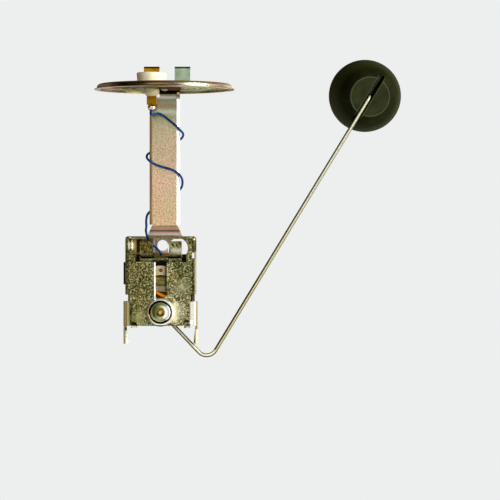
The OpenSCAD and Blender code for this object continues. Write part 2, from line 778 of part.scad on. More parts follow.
module spindle() {
    front_shoulder = floor_y + floor_t + bush_flange_t + 0.1;
    rear_shoulder = rear_flange_y - 0.1;
    color([0.80, 0.60, 0.22]) difference() {
        lathe_y(pivot_x, pivot_z) polygon([
            [0, tip_front], [tip_r - 0.2, tip_front], [tip_r, tip_front + 0.2], [tip_r, cup_seat],
            [journal_r, cup_seat], [journal_r, front_shoulder], [shaft_r, front_shoulder],
            [shaft_r, boss_front], [boss_wheel_r, boss_front], [boss_wheel_r, boss_back],
            [shaft_r, boss_back], [shaft_r, rear_shoulder], [journal_r, rear_shoulder],
            [journal_r, spindle_end - 0.2], [journal_r - 0.2, spindle_end], [0, spindle_end]]);
        translate([pivot_x, wire_y, pivot_z]) rotate([0, leg1_angle + 90, 0])
            translate([0, 0, 1.8]) cylinder(h = boss_wheel_r, r = wire_r + push_gap);
    }
}

module wiper_hub() {
    color([0.70, 0.52, 0.20]) lathe_y(pivot_x, pivot_z) polygon([
        [shaft_r + push_gap, wiper_front + wiper_t], [hub_r, wiper_front + wiper_t],
        [hub_r, boss_front], [shaft_r + push_gap, boss_front]]);
}

// Bronze leaf: a ring on the spindle, a neck, and a strip that reaches to the winding
module wiper_blade() {
    strip_w = 1.1;
    knee = [3.4, 5.5];
    tip = wiper_tip();
    color([0.85, 0.45, 0.10]) front_cut(wiper_front, wiper_front + wiper_t)
        translate([pivot_x, pivot_z]) {
            difference() {
                union() {
                    circle(3.6);
                    strip_2d([1.5, 1.5], knee, 2.2);
                    strip_2d(knee, tip, strip_w);
                    translate(tip) circle(1.1);
                    translate(knee) circle(1.1);
                }
                circle(shaft_r + push_gap);
            }
        }
}

// Straight strip between two points
module strip_2d(a, b, w) {
    v = b - a;
    translate(a) rotate(atan2(v[1], v[0])) translate([0, -w / 2]) square([norm(v), w]);
}

// The wiper's contact point, opposite the arm, on the middle of the winding
function wiper_tip() = let (r = (winding_in + winding_out) / 2, a = 124) [r * cos(a), r * sin(a)];

module wiper_contact() {
    tip = wiper_tip();
    color([0.85, 0.85, 0.83]) lathe_y(pivot_x + tip[0], pivot_z + tip[1]) polygon([
        [0, wiper_front + wiper_t], [0.7, wiper_front + wiper_t], [0.6, winding_front - 0.12],
        [0.3, winding_front - 0.02], [0, winding_front - 0.01]]);
}

// Dished washer on the spindle's tip
module cup_washer() {
    rim_y = cover_y - 0.75;
    color([0.72, 0.72, 0.62]) lathe_y(pivot_x, pivot_z) polygon([
        [tip_r + push_gap, cup_seat - cup_t], [1.7, cup_seat - cup_t], [1.75, cup_seat - cup_t - 0.35],
        [3.4, rim_y + 0.15], [3.8, rim_y], [cup_r, rim_y], [cup_r, rim_y + cup_t],
        [3.7, rim_y + cup_t + 0.1], [2.1, cup_seat - 0.25], [1.9, cup_seat],
        [tip_r + push_gap, cup_seat]]);
}

module spindle_clip() {
    color([0.60, 0.60, 0.58]) lathe_y(pivot_x, pivot_z) polygon([
        [journal_r + push_gap, rear_clip_y], [2.9, rear_clip_y + 0.15],
        [2.9, rear_clip_y + 0.5], [journal_r + push_gap, rear_clip_y + 0.4]]);
}

// Clamp plate on the spindle, rolled round the start of the wire
module arm_clamp() {
    barrel_end = 6;
    barrel_r = wire_r + 0.7;
    color([0.62, 0.61, 0.52]) translate([pivot_x, wire_y, pivot_z]) rotate([0, leg1_angle, 0])
        difference() {
            union() {
                rotate([-90, 0, 0]) translate([0, 0, boss_back - wire_y])
                    cylinder(h = clamp_t, r = boss_wheel_r);
                translate([0, boss_back - wire_y, -barrel_r])
                    cube([barrel_end, clamp_t, 2 * barrel_r]);
                translate([boss_wheel_r + 0.1, 0, 0]) rotate([0, 90, 0])
                    cylinder(h = barrel_end - boss_wheel_r - 0.1, r = barrel_r);
            }
            rotate([0, 90, 0]) cylinder(h = 20, r = wire_r + push_gap);
            rotate([-90, 0, 0]) cylinder(h = 10, r = shaft_r + push_gap);
        }
}

// Frame of the second leg: X along the leg from the corner, Y along the float's axis
module arm_frame() {
    translate([pivot_x, wire_y, pivot_z]) rotate([0, leg1_angle, 0]) translate([leg1, 0, 0])
        rotate([0, -arm_turn, 0]) rotate([float_roll, 0, 0]) children();
}

// Points along the wire: first leg, corner, second leg, and the bend into the float
wire_start = 1.9;
wire_sides = 16;
pivot_point = [pivot_x, wire_y, pivot_z];
leg1_dir = [cos(leg1_angle), 0, -sin(leg1_angle)];
leg1_up = [sin(leg1_angle), 0, cos(leg1_angle)];
leg2_dir = [cos(leg2_angle), 0, sin(leg2_angle)];
leg2_up = [-sin(leg2_angle), 0, cos(leg2_angle)];
float_dir = [0, cos(float_roll), 0] + leg2_up * sin(float_roll);
corner_point = pivot_point + leg1_dir * leg1;
corner_c = pivot_point + leg1_dir * (leg1 - corner_tangent) + leg1_up * corner_r;
end_c = corner_point + leg2_dir * (leg2 - end_r) + float_dir * end_r;
arm_path = concat(
    [pivot_point + leg1_dir * wire_start],
    [for (a = [0:arm_turn / 9:arm_turn + 0.01])
        corner_c + corner_r * (leg1_dir * sin(a) - leg1_up * cos(a))],
    [for (a = [0:15:90]) end_c + end_r * (leg2_dir * sin(a) - float_dir * cos(a))],
    [corner_point + leg2_dir * leg2 + float_dir * tail_end]);

module arm_wire() {
    color([0.60, 0.58, 0.48]) tube(arm_path, wire_d, wire_sides);
}

module float() {
    mouth_r = 2.3;
    color([0.16, 0.17, 0.10]) arm_frame() translate([leg2, 0, 0]) difference() {
        rotate([-90, 0, 0]) rotate_extrude() intersection() {
            translate([0, float_mid]) circle(float_r);
            translate([0, float_flat]) square([float_r, float_l]);
        }
        rotate([-90, 0, 0]) translate([0, 0, float_flat - 1])
            cylinder(h = float_l + 2, r = float_bore_r);
        rotate([-90, 0, 0]) translate([0, 0, float_flat + float_slot_depth - weld])
            cylinder(h = 1.3, r1 = mouth_r, r2 = float_bore_r);
        translate([-float_r - 1, float_flat - 1, -float_slot_w / 2])
            cube([float_r + 1 + float_slot_end, 1 + float_slot_depth, float_slot_w]);
    }
}

module float_clip() {
    color([0.60, 0.60, 0.58]) arm_frame() translate([leg2, 0, 0]) rotate([-90, 0, 0])
        rotate_extrude() polygon([[wire_r + push_gap, float_back], [clip_r, float_back],
            [clip_r, float_back + clip_t], [wire_r + push_gap, float_back + clip_t]]);
}

// Points that the lead follows, from the terminal's eye round the stem to the eyelet
lead_run = -47.7;
lead_points = concat(
    [for (p = [[-5.3, -4.2, -8.3], [-5.45, -3.5, -9.9], [-4.5, -2.7, -10.3], [-2.9, -2, -9.7],
        [-0.9, -1.3, -10.2], [1.5, -0.8, -12], [4.2, -0.65, -14.2], [6.3, -0.5, -16.3],
        [7.6, 1.4, -18], [6.6, 3.7, -19.8], [3, 3.9, -21.6], [-3, 4, -24.1],
        [-6.5, 4, -25.7], [-7.3, 1.6, -27.4], [-5.8, -0.5, -29.2], [-2.7, -0.65, -30.8],
        [1, -0.65, -31.9], [4, -0.65, -33], [6.3, -0.4, -34.8], [7.3, 1.4, -37.2],
        [6.5, 3.8, -40.2], [2.5, 3.9, -43.2], [-3, 4, -47.2], [-6.7, 3.9, -50.2],
        [-7.5, 1.6, -53]])
        [p[0], p[1], p[2] < -12 ? -12 + (p[2] + 12) * (case_top + 12) / lead_run : p[2]]],
    [for (p = [[-7.4, 0, 4.1], [-7.5, -1.6, 2.3], [-6.9, -3.3, -0.2], [-5.7, -4.2, -2.5],
        [-3.5, -4.1, -4.4], [-2.1, -3.6, -6], [-1.3, -2, -7.5], [-1.2, 0.2, -8.9],
        [-1.2, 1.15, -10.5], [-1.3, 1.3, -13.2]])
        [p[0], p[1], case_top + p[2]]]);
lead_sides = 8;
lead_steps = 2;

// Point on a smooth curve through the listed points
function lead_at(i, t) =
    let (n = len(lead_points) - 1,
        p0 = lead_points[max(0, i - 1)],
        p1 = lead_points[i],
        p2 = lead_points[min(n, i + 1)],
        p3 = lead_points[min(n, i + 2)])
    0.5 * (2 * p1 + (p2 - p0) * t + (2 * p0 - 5 * p1 + 4 * p2 - p3) * t * t
        + (3 * p1 - p0 - 3 * p2 + p3) * t * t * t);

lead_path = concat(
    [for (i = [0:len(lead_points) - 2]) for (k = [0:lead_steps - 1]) lead_at(i, k / lead_steps)],
    [lead_points[len(lead_points) - 1]]);

function unit(v) = v / norm(v);
function path_dir(path, i) =
    unit(path[min(i + 1, len(path) - 1)] - path[max(i - 1, 0)]);

// Side directions carried along the path without twist
function carried(path, i, side) =
    i >= len(path) ? [] :
    let (d = path_dir(path, i), s = unit(side - d * (side * d)))
    concat([s], carried(path, i + 1, s));

// Tube of a given diameter along a path
module tube(path, d, sides) {
    n = len(path);
    side_dirs = carried(path, 0, [1, 0, 0]);
    rings = [for (i = [0:n - 1])
        let (s = side_dirs[i], u = cross(path_dir(path, i), s))
        for (k = [0:sides - 1]) let (a = 360 * k / sides)
            path[i] + d / 2 * (cos(a) * s + sin(a) * u)];
    walls = [for (i = [0:n - 2]) for (k = [0:sides - 1])
        let (a = i * sides + k, b = i * sides + (k + 1) % sides)
        each [[a, b + sides, b], [a, a + sides, b + sides]]];
    caps = [[for (k = [0:sides - 1]) k], [for (k = [sides - 1:-1:0]) (n - 1) * sides + k]];
    polyhedron(points = rings, faces = concat(walls, caps));
}

module lead_wire() {
    color([0.05, 0.22, 0.60]) tube(lead_path, lead_d, lead_sides);
}

flange_plate();
terminal_bush();
bush_washer();
terminal_blade();
terminal_solder();
earth_blade();
flange_rivet();
stem_bracket();
case_cover();
cross_rod();
resistor_base();
resistor_holder();
resistor_former();
resistor_winding();
holder_rivet();
lead_wire();
lead_solder();
front_bush();
rear_bush();
spring_washer();
spindle();
wiper_hub();
wiper_blade();
wiper_contact();
cup_washer();
spindle_clip();
arm_clamp();
arm_wire();
float();
float_clip();
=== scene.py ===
"""Fuel tank sender: flange with two spades, strip stem with a blue lead, resistor case, wire arm and float."""
import json
import math
import bmesh
import bpy
from mathutils import Matrix, Vector


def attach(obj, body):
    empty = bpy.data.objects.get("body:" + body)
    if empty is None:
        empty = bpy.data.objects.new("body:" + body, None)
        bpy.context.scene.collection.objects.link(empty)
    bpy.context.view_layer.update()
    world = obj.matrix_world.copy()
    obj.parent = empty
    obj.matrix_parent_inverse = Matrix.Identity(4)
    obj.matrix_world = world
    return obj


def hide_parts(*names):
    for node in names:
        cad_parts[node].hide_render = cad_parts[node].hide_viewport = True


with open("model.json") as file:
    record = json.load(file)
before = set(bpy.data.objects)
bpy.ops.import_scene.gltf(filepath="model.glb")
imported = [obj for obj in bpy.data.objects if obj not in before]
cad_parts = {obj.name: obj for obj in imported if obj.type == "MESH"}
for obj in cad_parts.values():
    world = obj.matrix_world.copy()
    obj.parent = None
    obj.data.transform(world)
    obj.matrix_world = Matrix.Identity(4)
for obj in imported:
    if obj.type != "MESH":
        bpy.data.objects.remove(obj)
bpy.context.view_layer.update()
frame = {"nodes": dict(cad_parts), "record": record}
MM = 0.001
RECORD = frame["record"]
SLOT = {row["node"]: row["material_slot"] for row in RECORD["subparts"]}
BODY = {n: b for b, members in RECORD["behaviour"]["bodies"].items() for n in members}

# Places that the CAD source also names, in millimetres
SHOULDER_H = 2.3
WEB_H = 1.6
SHEET = 1.0
SIDE_R = 27.6
LIP_R = 28.6
TERMINAL = (-5.1, -3.2)
RIVET = (0.3, -9.0)
CASE_TOP = -(55.2 + 3.6 + 1.7 * (math.sqrt(2) - 1) + 0.2)
PIVOT = Vector((-1.5, 0.9, CASE_TOP - 36.4 + 5.5))
COVER_Y = -6.0
WIRE_D = 1.6
LEG_1, LEG_1_FALL = 28.2, math.radians(46.5)
LEG_2, LEG_2_RISE = 126.9, math.radians(58.7)
CORNER_R, END_R = 4.3, 1.8
FLOAT_ROLL = math.radians(9)
FLOAT_R, FLOAT_FRONT, FLOAT_L = 14.9, -0.9, 24.6


# ---------------------------------------------------------------- shapes

def mesh_object(name, verts, faces, smooth=True):
    """Closed mesh from points in millimetres, with its normals turned outwards."""
    mesh = bpy.data.meshes.new(name)
    mesh.from_pydata([Vector(v) * MM for v in verts], [], faces)
    bm = bmesh.new()
    bm.from_mesh(mesh)
    bmesh.ops.remove_doubles(bm, verts=bm.verts, dist=1e-7)
    bmesh.ops.recalc_face_normals(bm, faces=bm.faces)
    bm.to_mesh(mesh)
    bm.free()
    for face in mesh.polygons:
        face.use_smooth = smooth
    obj = bpy.data.objects.new(name, mesh)
    bpy.context.scene.collection.objects.link(obj)
    return obj


def settle(obj):
    """Turns the live modifiers into plain mesh."""
    bpy.context.view_layer.update()
    graph = bpy.context.evaluated_depsgraph_get()
    mesh = bpy.data.meshes.new_from_object(obj.evaluated_get(graph))
    old = obj.data
    obj.modifiers.clear()
    if obj.type == "MESH":
        obj.data = mesh
        bpy.data.meshes.remove(old)
        return obj
    made = bpy.data.objects.new(obj.name + "_mesh", mesh)
    bpy.context.scene.collection.objects.link(made)
    name = obj.name
    bpy.data.objects.remove(obj)
    made.name = name
    return made


def soften(obj, width, segments=2, angle=30, sharp=42):
    """Small rounds on the sharp edges, and shading that keeps the flats flat."""
    if width:
        bevel = obj.modifiers.new("edge_round", "BEVEL")
        bevel.width = width * MM
        bevel.segments = segments
        bevel.limit_method = "ANGLE"
        bevel.angle_limit = math.radians(angle)
        settle(obj)
    for face in obj.data.polygons:
        face.use_smooth = True
    obj.data.set_sharp_from_angle(angle=math.radians(sharp))
    weight = obj.modifiers.new("flats", "WEIGHTED_NORMAL")
    weight.keep_sharp = True
    return settle(obj)


def from_cad(node, width, name=None):
    """Copy of a CAD node with merged faces and rounded edges, which stands for the node."""
    mesh = frame["nodes"][node].data.copy()
    mesh.materials.clear()
    bm = bmesh.new()
    bm.from_mesh(mesh)
    bmesh.ops.remove_doubles(bm, verts=bm.verts, dist=2e-6)
    bmesh.ops.dissolve_limit(bm, angle_limit=math.radians(0.6), verts=bm.verts, edges=bm.edges)
    bm.to_mesh(mesh)
    bm.free()
    obj = bpy.data.objects.new(name or "made_" + node, mesh)
    bpy.context.scene.collection.objects.link(obj)
    return soften(obj, width)


def turned(name, profile, centre, axis="Z", steps=96):
    """Turned piece: profile of (radius, height) pairs round an axis along Z or Y."""
    verts, faces = [], []
    count = len(profile)
    for i in range(steps):
        a = 2 * math.pi * i / steps
        for radius, height in profile:
            x, u = radius * math.cos(a), radius * math.sin(a)
            local = (x, u, height) if axis == "Z" else (x, height, -u)
            verts.append(Vector(centre) + Vector(local))
    for i in range(steps):
        j = (i + 1) % steps
        for k in range(count):
            m = (k + 1) % count
            if profile[k][0] < 1e-6 and profile[m][0] < 1e-6:
                continue
            ring = [i * count + k, i * count + m, j * count + m, j * count + k]
            faces.append(ring)
    return mesh_object(name, verts, faces)


def arc(centre, radius, start, end, steps):
    """Points on an arc in the profile plane, in degrees."""
    out = []
    for i in range(steps + 1):
        a = math.radians(start + (end - start) * i / steps)
        out.append((centre[0] + radius * math.cos(a), centre[1] + radius * math.sin(a)))
    return out


# ---------------------------------------------------------------- node trees

def group(name, inputs):
    """Empty geometry tree with one geometry input and the listed number inputs."""
    tree = bpy.data.node_groups.new(name, "GeometryNodeTree")
    face = tree.interface
    face.new_socket("Geometry", in_out="INPUT", socket_type="NodeSocketGeometry")
    for label, kind, value in inputs:
        made = face.new_socket(label, in_out="INPUT", socket_type="NodeSocket" + kind)
        if value is not None:
            made.default_value = value
    face.new_socket("Geometry", in_out="OUTPUT", socket_type="NodeSocketGeometry")
    enter = tree.nodes.new("NodeGroupInput")
    leave = tree.nodes.new("NodeGroupOutput")
    return tree, enter, leave


def run_tree(obj, tree, **values):
    """Puts the tree on the object with its inputs set, and settles the result."""
    mod = obj.modifiers.new(tree.name, "NODES")
    mod.node_group = tree
    sockets = {s.name: s.identifier for s in tree.interface.items_tree
               if s.item_type == "SOCKET" and s.in_out == "INPUT"}
    for label, value in values.items():
        mod[sockets[label.replace("_", " ")]] = value
    return settle(obj)


def node(tree, kind, links=(), **settings):
    """New node with its settings, and its inputs linked from (input, output socket) pairs."""
    made = tree.nodes.new(kind)
    for key, value in settings.items():
        setattr(made, key, value)
    for place, source in links:
        if hasattr(source, "is_output"):
            tree.links.new(source, made.inputs[place])
        else:
            made.inputs[place].default_value = source
    return made


def finish_tree(tree, enter, leave, geometry):
    """Smooth shading, real geometry and the material close every tree."""
    smooth = node(tree, "GeometryNodeSetShadeSmooth", [("Geometry", geometry)])
    real = node(tree, "GeometryNodeRealizeInstances", [("Geometry", smooth.outputs[0])])
    paint = node(tree, "GeometryNodeSetMaterial",
                 [("Geometry", real.outputs[0]), ("Material", enter.outputs["Material"])])
    tree.links.new(paint.outputs[0], leave.inputs[0])


def tube_tree():
    """Round bar along a curve."""
    tree, enter, leave = group("bar_along_path", [
        ("Radius", "Float", 0.001), ("Sides", "Int", 16), ("Material", "Material", None)])
    ring = node(tree, "GeometryNodeCurvePrimitiveCircle",
                [("Resolution", enter.outputs["Sides"]), ("Radius", enter.outputs["Radius"])])
    bar = node(tree, "GeometryNodeCurveToMesh",
               [("Curve", enter.outputs["Geometry"]), ("Profile Curve", ring.outputs[0]),
                ("Fill Caps", True)])
    finish_tree(tree, enter, leave, bar.outputs[0])
    return tree


def winding_tree():
    """Turns of fine wire round a flat curved former, spread over a sector about +Z."""
    tree, enter, leave = group("wound_turns", [
        ("Turns", "Int", 90), ("Arc Radius", "Float", 0.013), ("Half Angle", "Float", 0.87),
        ("Turn Width", "Float", 0.004), ("Turn Depth", "Float", 0.0018),
        ("Turn Corner", "Float", 0.0003), ("Wire Radius", "Float", 0.0001),
        ("Centre", "Vector", (0, 0, 0)), ("Material", "Material", None)])
    out = enter.outputs

    def maths(op, a, b):
        return node(tree, "ShaderNodeMath", [(0, a), (1, b)], operation=op).outputs[0]

    index = node(tree, "GeometryNodeInputIndex").outputs[0]
    share = maths("DIVIDE", index, maths("SUBTRACT", out["Turns"], 1.0))
    swing = maths("MULTIPLY", maths("SUBTRACT", maths("MULTIPLY", share, 2.0), 1.0),
                  out["Half Angle"])
    angle = maths("ADD", swing, math.pi / 2)
    x = maths("MULTIPLY", maths("COSINE", angle, 0.0), out["Arc Radius"])
    z = maths("MULTIPLY", maths("SINE", angle, 0.0), out["Arc Radius"])
    place = node(tree, "ShaderNodeCombineXYZ", [("X", x), ("Z", z)]).outputs[0]
    place = node(tree, "ShaderNodeVectorMath", [(0, place), (1, out["Centre"])],
                 operation="ADD").outputs[0]
    turn = node(tree, "ShaderNodeCombineXYZ", [("Y", maths("MULTIPLY", angle, -1.0))]).outputs[0]
    points = node(tree, "GeometryNodePoints", [("Count", out["Turns"]), ("Position", place)])
    loop = node(tree, "GeometryNodeCurvePrimitiveQuadrilateral",
                [("Width", out["Turn Width"]), ("Height", out["Turn Depth"])])
    loop = node(tree, "GeometryNodeFilletCurve",
                [("Curve", loop.outputs[0]), ("Radius", out["Turn Corner"])])
    for place_name in ("Count",):
        if place_name in loop.inputs:
            loop.inputs[place_name].default_value = 3
    if hasattr(loop, "mode"):
        loop.mode = "POLY"
    ring = node(tree, "GeometryNodeCurvePrimitiveCircle",
                [("Resolution", 6), ("Radius", out["Wire Radius"])])
    bar = node(tree, "GeometryNodeCurveToMesh",
               [("Curve", loop.outputs[0]), ("Profile Curve", ring.outputs[0])])
    copies = node(tree, "GeometryNodeInstanceOnPoints",
                  [("Points", points.outputs[0]), ("Instance", bar.outputs[0]),
                   ("Rotation", turn)])
    finish_tree(tree, enter, leave, copies.outputs[0])
    return tree


def teeth_tree():
    """Ring of copies of the incoming piece, turned about an upright axis."""
    tree, enter, leave = group("ring_of_teeth", [
        ("Count", "Int", 8), ("Centre", "Vector", (0, 0, 0)), ("Material", "Material", None)])
    out = enter.outputs
    index = node(tree, "GeometryNodeInputIndex").outputs[0]
    step = node(tree, "ShaderNodeMath", [(0, 2 * math.pi), (1, out["Count"])],
                operation="DIVIDE").outputs[0]
    angle = node(tree, "ShaderNodeMath", [(0, index), (1, step)], operation="MULTIPLY").outputs[0]
    turn = node(tree, "ShaderNodeCombineXYZ", [("Z", angle)]).outputs[0]
    points = node(tree, "GeometryNodePoints",
                  [("Count", out["Count"]), ("Position", out["Centre"])])
    copies = node(tree, "GeometryNodeInstanceOnPoints",
                  [("Points", points.outputs[0]), ("Instance", out["Geometry"]),
                   ("Rotation", turn)])
    finish_tree(tree, enter, leave, copies.outputs[0])
    return tree


# ---------------------------------------------------------------- finishes

def tone(r, g, b):
    """Linear colour from an ordinary 0 to 255 one."""
    def channel(c):
        c /= 255
        return c / 12.92 if c <= 0.04045 else ((c + 0.055) / 1.055) ** 2.4
    return (channel(r), channel(g), channel(b), 1)


class Finish:
    """A material and the few node steps that all of them share."""

    def __init__(self, name, metallic=0.0, roughness=0.5, **constant):
        self.material = bpy.data.materials.new(name)
        self.material.use_nodes = True
        self.tree = self.material.node_tree
        self.shader = self.tree.nodes["Principled BSDF"]
        self.shader.inputs["Metallic"].default_value = metallic
        self.shader.inputs["Roughness"].default_value = roughness
        for key, value in constant.items():
            self.shader.inputs[key.replace("_", " ")].default_value = value
        self.place = self.tree.nodes.new("ShaderNodeTexCoord").outputs["Object"]

    def at(self, stretch=(1, 1, 1), centre=(0, 0, 0)):
        """Object coordinates, moved and stretched."""
        return node(self.tree, "ShaderNodeMapping", [
            ("Vector", self.place), ("Location", centre), ("Scale", stretch)]).outputs[0]

    def noise(self, size, detail=3.0, rough=0.6, stretch=(1, 1, 1)):
        """Cloudy value with grains of a size in millimetres."""
        return node(self.tree, "ShaderNodeTexNoise", [
            ("Vector", self.at(stretch)), ("Scale", 1 / (size * MM)), ("Detail", detail),
            ("Roughness", rough)]).outputs[0]

    def cells(self, size, stretch=(1, 1, 1)):
        """Random grey of crystal cells of a size in millimetres."""
        made = node(self.tree, "ShaderNodeTexVoronoi", [
            ("Vector", self.at(stretch)), ("Scale", 1 / (size * MM))])
        return node(self.tree, "ShaderNodeSeparateColor", [(0, made.outputs["Color"])]).outputs[0]

    def maths(self, op, a, b=0.0, clamp=False):
        return node(self.tree, "ShaderNodeMath", [(0, a), (1, b)], operation=op,
                    use_clamp=clamp).outputs[0]

    def ramp(self, value, stops):
        """Colours at places along a value."""
        made = node(self.tree, "ShaderNodeValToRGB", [(0, value)])
        bar = made.color_ramp.elements
        while len(bar) < len(stops):
            bar.new(0.5)
        for spot, (where, colour) in zip(bar, stops):
            spot.position = where
            spot.color = colour
        return made.outputs[0]

    def mix(self, share, a, b, how="MIX"):
        made = node(self.tree, "ShaderNodeMix", data_type="RGBA", blend_type=how)
        for place, source in ((0, share), (6, a), (7, b)):
            if hasattr(source, "is_output"):
                self.tree.links.new(source, made.inputs[place])
            else:
                made.inputs[place].default_value = source
        return made.outputs[2]

    def span(self, value, low, high, to_low=0.0, to_high=1.0):
        return node(self.tree, "ShaderNodeMapRange", [
            (0, value), (1, low), (2, high), (3, to_low), (4, to_high)]).outputs[0]

    def axis(self, letter, low, high):
        """0 to 1 between two places along an axis, in millimetres."""
        split = node(self.tree, "ShaderNodeSeparateXYZ", [(0, self.place)])
        return self.span(split.outputs[letter], low * MM, high * MM)

    def zone(self, edge=0.25, **sides):
        """1 inside ranges of x, y, z or r (about the pivot) in millimetres, with soft edges."""
        split = node(self.tree, "ShaderNodeSeparateXYZ", [(0, self.place)])
        share = None
        for letter, (low, high) in sides.items():
            if letter == "r":
                spot = node(self.tree, "ShaderNodeVectorMath", [
                    (0, self.place), (1, (1, 0, 1)), (2, (-PIVOT.x * MM, 0, -PIVOT.z * MM))],
                    operation="MULTIPLY_ADD").outputs[0]
                source = node(self.tree, "ShaderNodeVectorMath", [(0, spot)],
                              operation="LENGTH").outputs["Value"]
            else:
                source = split.outputs[letter.upper()]
            up = self.span(source, (low - edge) * MM, (low + edge) * MM)
            down = self.span(source, (high - edge) * MM, (high + edge) * MM, 1.0, 0.0)
            both = self.maths("MULTIPLY", up, down)
            share = both if share is None else self.maths("MULTIPLY", share, both)
        return share

    def painted(self, base, patches):
        """Base colour with soft patches of (colour, strength, blend, ranges) laid over it."""
        for shade, strength, how, sides in patches:
            share = self.maths("MULTIPLY", self.zone(**sides), strength)
            base = self.mix(share, base, shade, how)
        return base

    def colour(self, source):
        self.tree.links.new(source, self.shader.inputs["Base Color"])

    def rough(self, value, low, high):
        self.tree.links.new(self.span(value, 0.3, 0.7, low, high),
                            self.shader.inputs["Roughness"])

    def bump(self, *layers):
        """Relief from (value, depth in millimetres) pairs."""
        normal = None
        for value, depth in layers:
            made = node(self.tree, "ShaderNodeBump", [
                ("Height", value), ("Distance", depth * MM), ("Strength", 1.0)])
            if normal is not None:
                self.tree.links.new(normal, made.inputs["Normal"])
            normal = made.outputs[0]
        self.tree.links.new(normal, self.shader.inputs["Normal"])


# Painted light and shade on the case cover: a darker upper face, painted dark shadow lines under the top edge
# and along the bottom, a painted highlight on the top bend, painted highlights on the tabs' bends with painted
# black shadow bands between the knuckles, painted highlights right of the pivot boss, painted shade beside the
# left wing, and a darker right side wall with a lit strip beyond it.
COVER_PATCHES = [
    (tone(208, 204, 182), 1.0, "MULTIPLY", {"edge": 2.5, "x": (-20, -3), "z": (-86, -58)}),
    (tone(20, 18, 8), 0.75, "MIX", {"edge": 0.15, "x": (-14.6, 12), "z": (-61.1, -60.7)}),
    (tone(244, 242, 206), 0.6, "MIX", {"edge": 0.15, "x": (-14.2, 11.6), "y": (-8, -5),
                                       "z": (-60.45, -60)}),
    (tone(24, 22, 8), 0.7, "MIX", {"edge": 0.15, "x": (-12, 10), "z": (-97, -95.9)}),
    (tone(212, 210, 194), 1.0, "MULTIPLY", {"edge": 2.5, "x": (3, 20), "z": (-84, -58)}),
    (tone(216, 198, 164), 1.0, "MULTIPLY", {"x": (-9.3, -4.8), "z": (-66.4, -61)}),
    (tone(246, 240, 222), 1.0, "MULTIPLY", {"x": (2.9, 7.2), "z": (-66.4, -61)}),
    (tone(255, 252, 232), 0.5, "MIX", {"edge": 0.6, "x": (2.9, 7.2), "z": (-66.2, -64.6)}),
    (tone(226, 220, 176), 0.5, "MIX", {"edge": 0.12, "x": (-9.6, 7.3), "z": (-67.4, -66.9)}),
    (tone(20, 18, 6), 0.7, "MIX", {"edge": 0.12, "x": (-9.6, -3.9), "z": (-66.8, -66.5)}),
    (tone(5, 5, 2), 1.0, "MIX", {"edge": 0.12, "x": (-9.6, -3.9), "z": (-68.75, -67.8)}),
    (tone(5, 5, 2), 1.0, "MIX", {"edge": 0.12, "x": (1.5, 7.3), "z": (-68.75, -67.8)}),
    (tone(60, 60, 22), 1.0, "MIX", {"edge": 0.12, "x": (-3.9, 1.5), "z": (-68.75, -67.8)}),
    (tone(40, 36, 12), 0.7, "MIX", {"edge": 0.12, "x": (-9.6, 7.3), "z": (-70.1, -69.8)}),
    (tone(255, 248, 196), 1.0, "MIX", {"edge": 0.9, "x": (3.4, 5.4), "z": (-94.5, -86.5)}),
    (tone(252, 248, 214), 0.3, "MIX", {"edge": 1.4, "x": (4.5, 8), "z": (-93, -88)}),
    (tone(255, 246, 190), 0.22, "SCREEN", {"edge": 1.8, "x": (4.5, 9.5), "z": (-83, -78)}),
    (tone(236, 232, 176), 0.5, "MIX", {"edge": 1.5, "x": (-11.6, -8.6), "z": (-96, -90.5)}),
    (tone(206, 208, 184), 1.0, "MULTIPLY", {"edge": 1.5, "x": (-15, -6.5), "z": (-97, -86)}),
    (tone(110, 108, 78), 1.0, "MULTIPLY", {"edge": 0.3, "x": (11.4, 20), "z": (-92.5, -61.2)}),
    (tone(196, 186, 152), 0.8, "MIX", {"edge": 0.12, "x": (12.5, 20), "z": (-92.5, -66)}),
    (tone(34, 40, 14), 0.75, "MIX", {"edge": 0.5, "x": (-13.9, -12.8), "z": (-95.5, -86.5)}),
]


def spangled_zinc():
    f = Finish("spangled_olive_zinc", metallic=1.0, roughness=0.4, Specular_IOR_Level=0.0)
    grain = f.noise(0.42, 5, 0.85)
    cell = f.cells(0.5)
    sparkle = f.maths("ADD", f.maths("MULTIPLY", grain, 0.8), f.maths("MULTIPLY", cell, 0.2))
    base = f.ramp(sparkle, [(0.38, tone(34, 36, 14)), (0.46, tone(98, 99, 60)),
                            (0.54, tone(152, 150, 108)), (0.63, tone(255, 254, 230))])
    cloud = f.noise(7, 3, 0.5)
    tint = f.ramp(cloud, [(0.35, tone(214, 224, 196)), (0.5, tone(246, 242, 216)),
                          (0.65, tone(252, 236, 194))])
    base = f.mix(0.8, base, tint, "MULTIPLY")
    f.colour(f.painted(base, COVER_PATCHES))
    # Metal is turned off in the band across the knuckles, so that its painted black shadow shows as it is.
    band = f.zone(0.12, x=(-9.6, 7.3), z=(-68.75, -67.8))
    f.tree.links.new(f.span(band, 0, 1, 1.0, 0.0), f.shader.inputs["Metallic"])
    f.rough(grain, 0.26, 0.46)
    f.bump((f.noise(11, 2, 0.4), 0.3), (grain, 0.05))
    return f.material
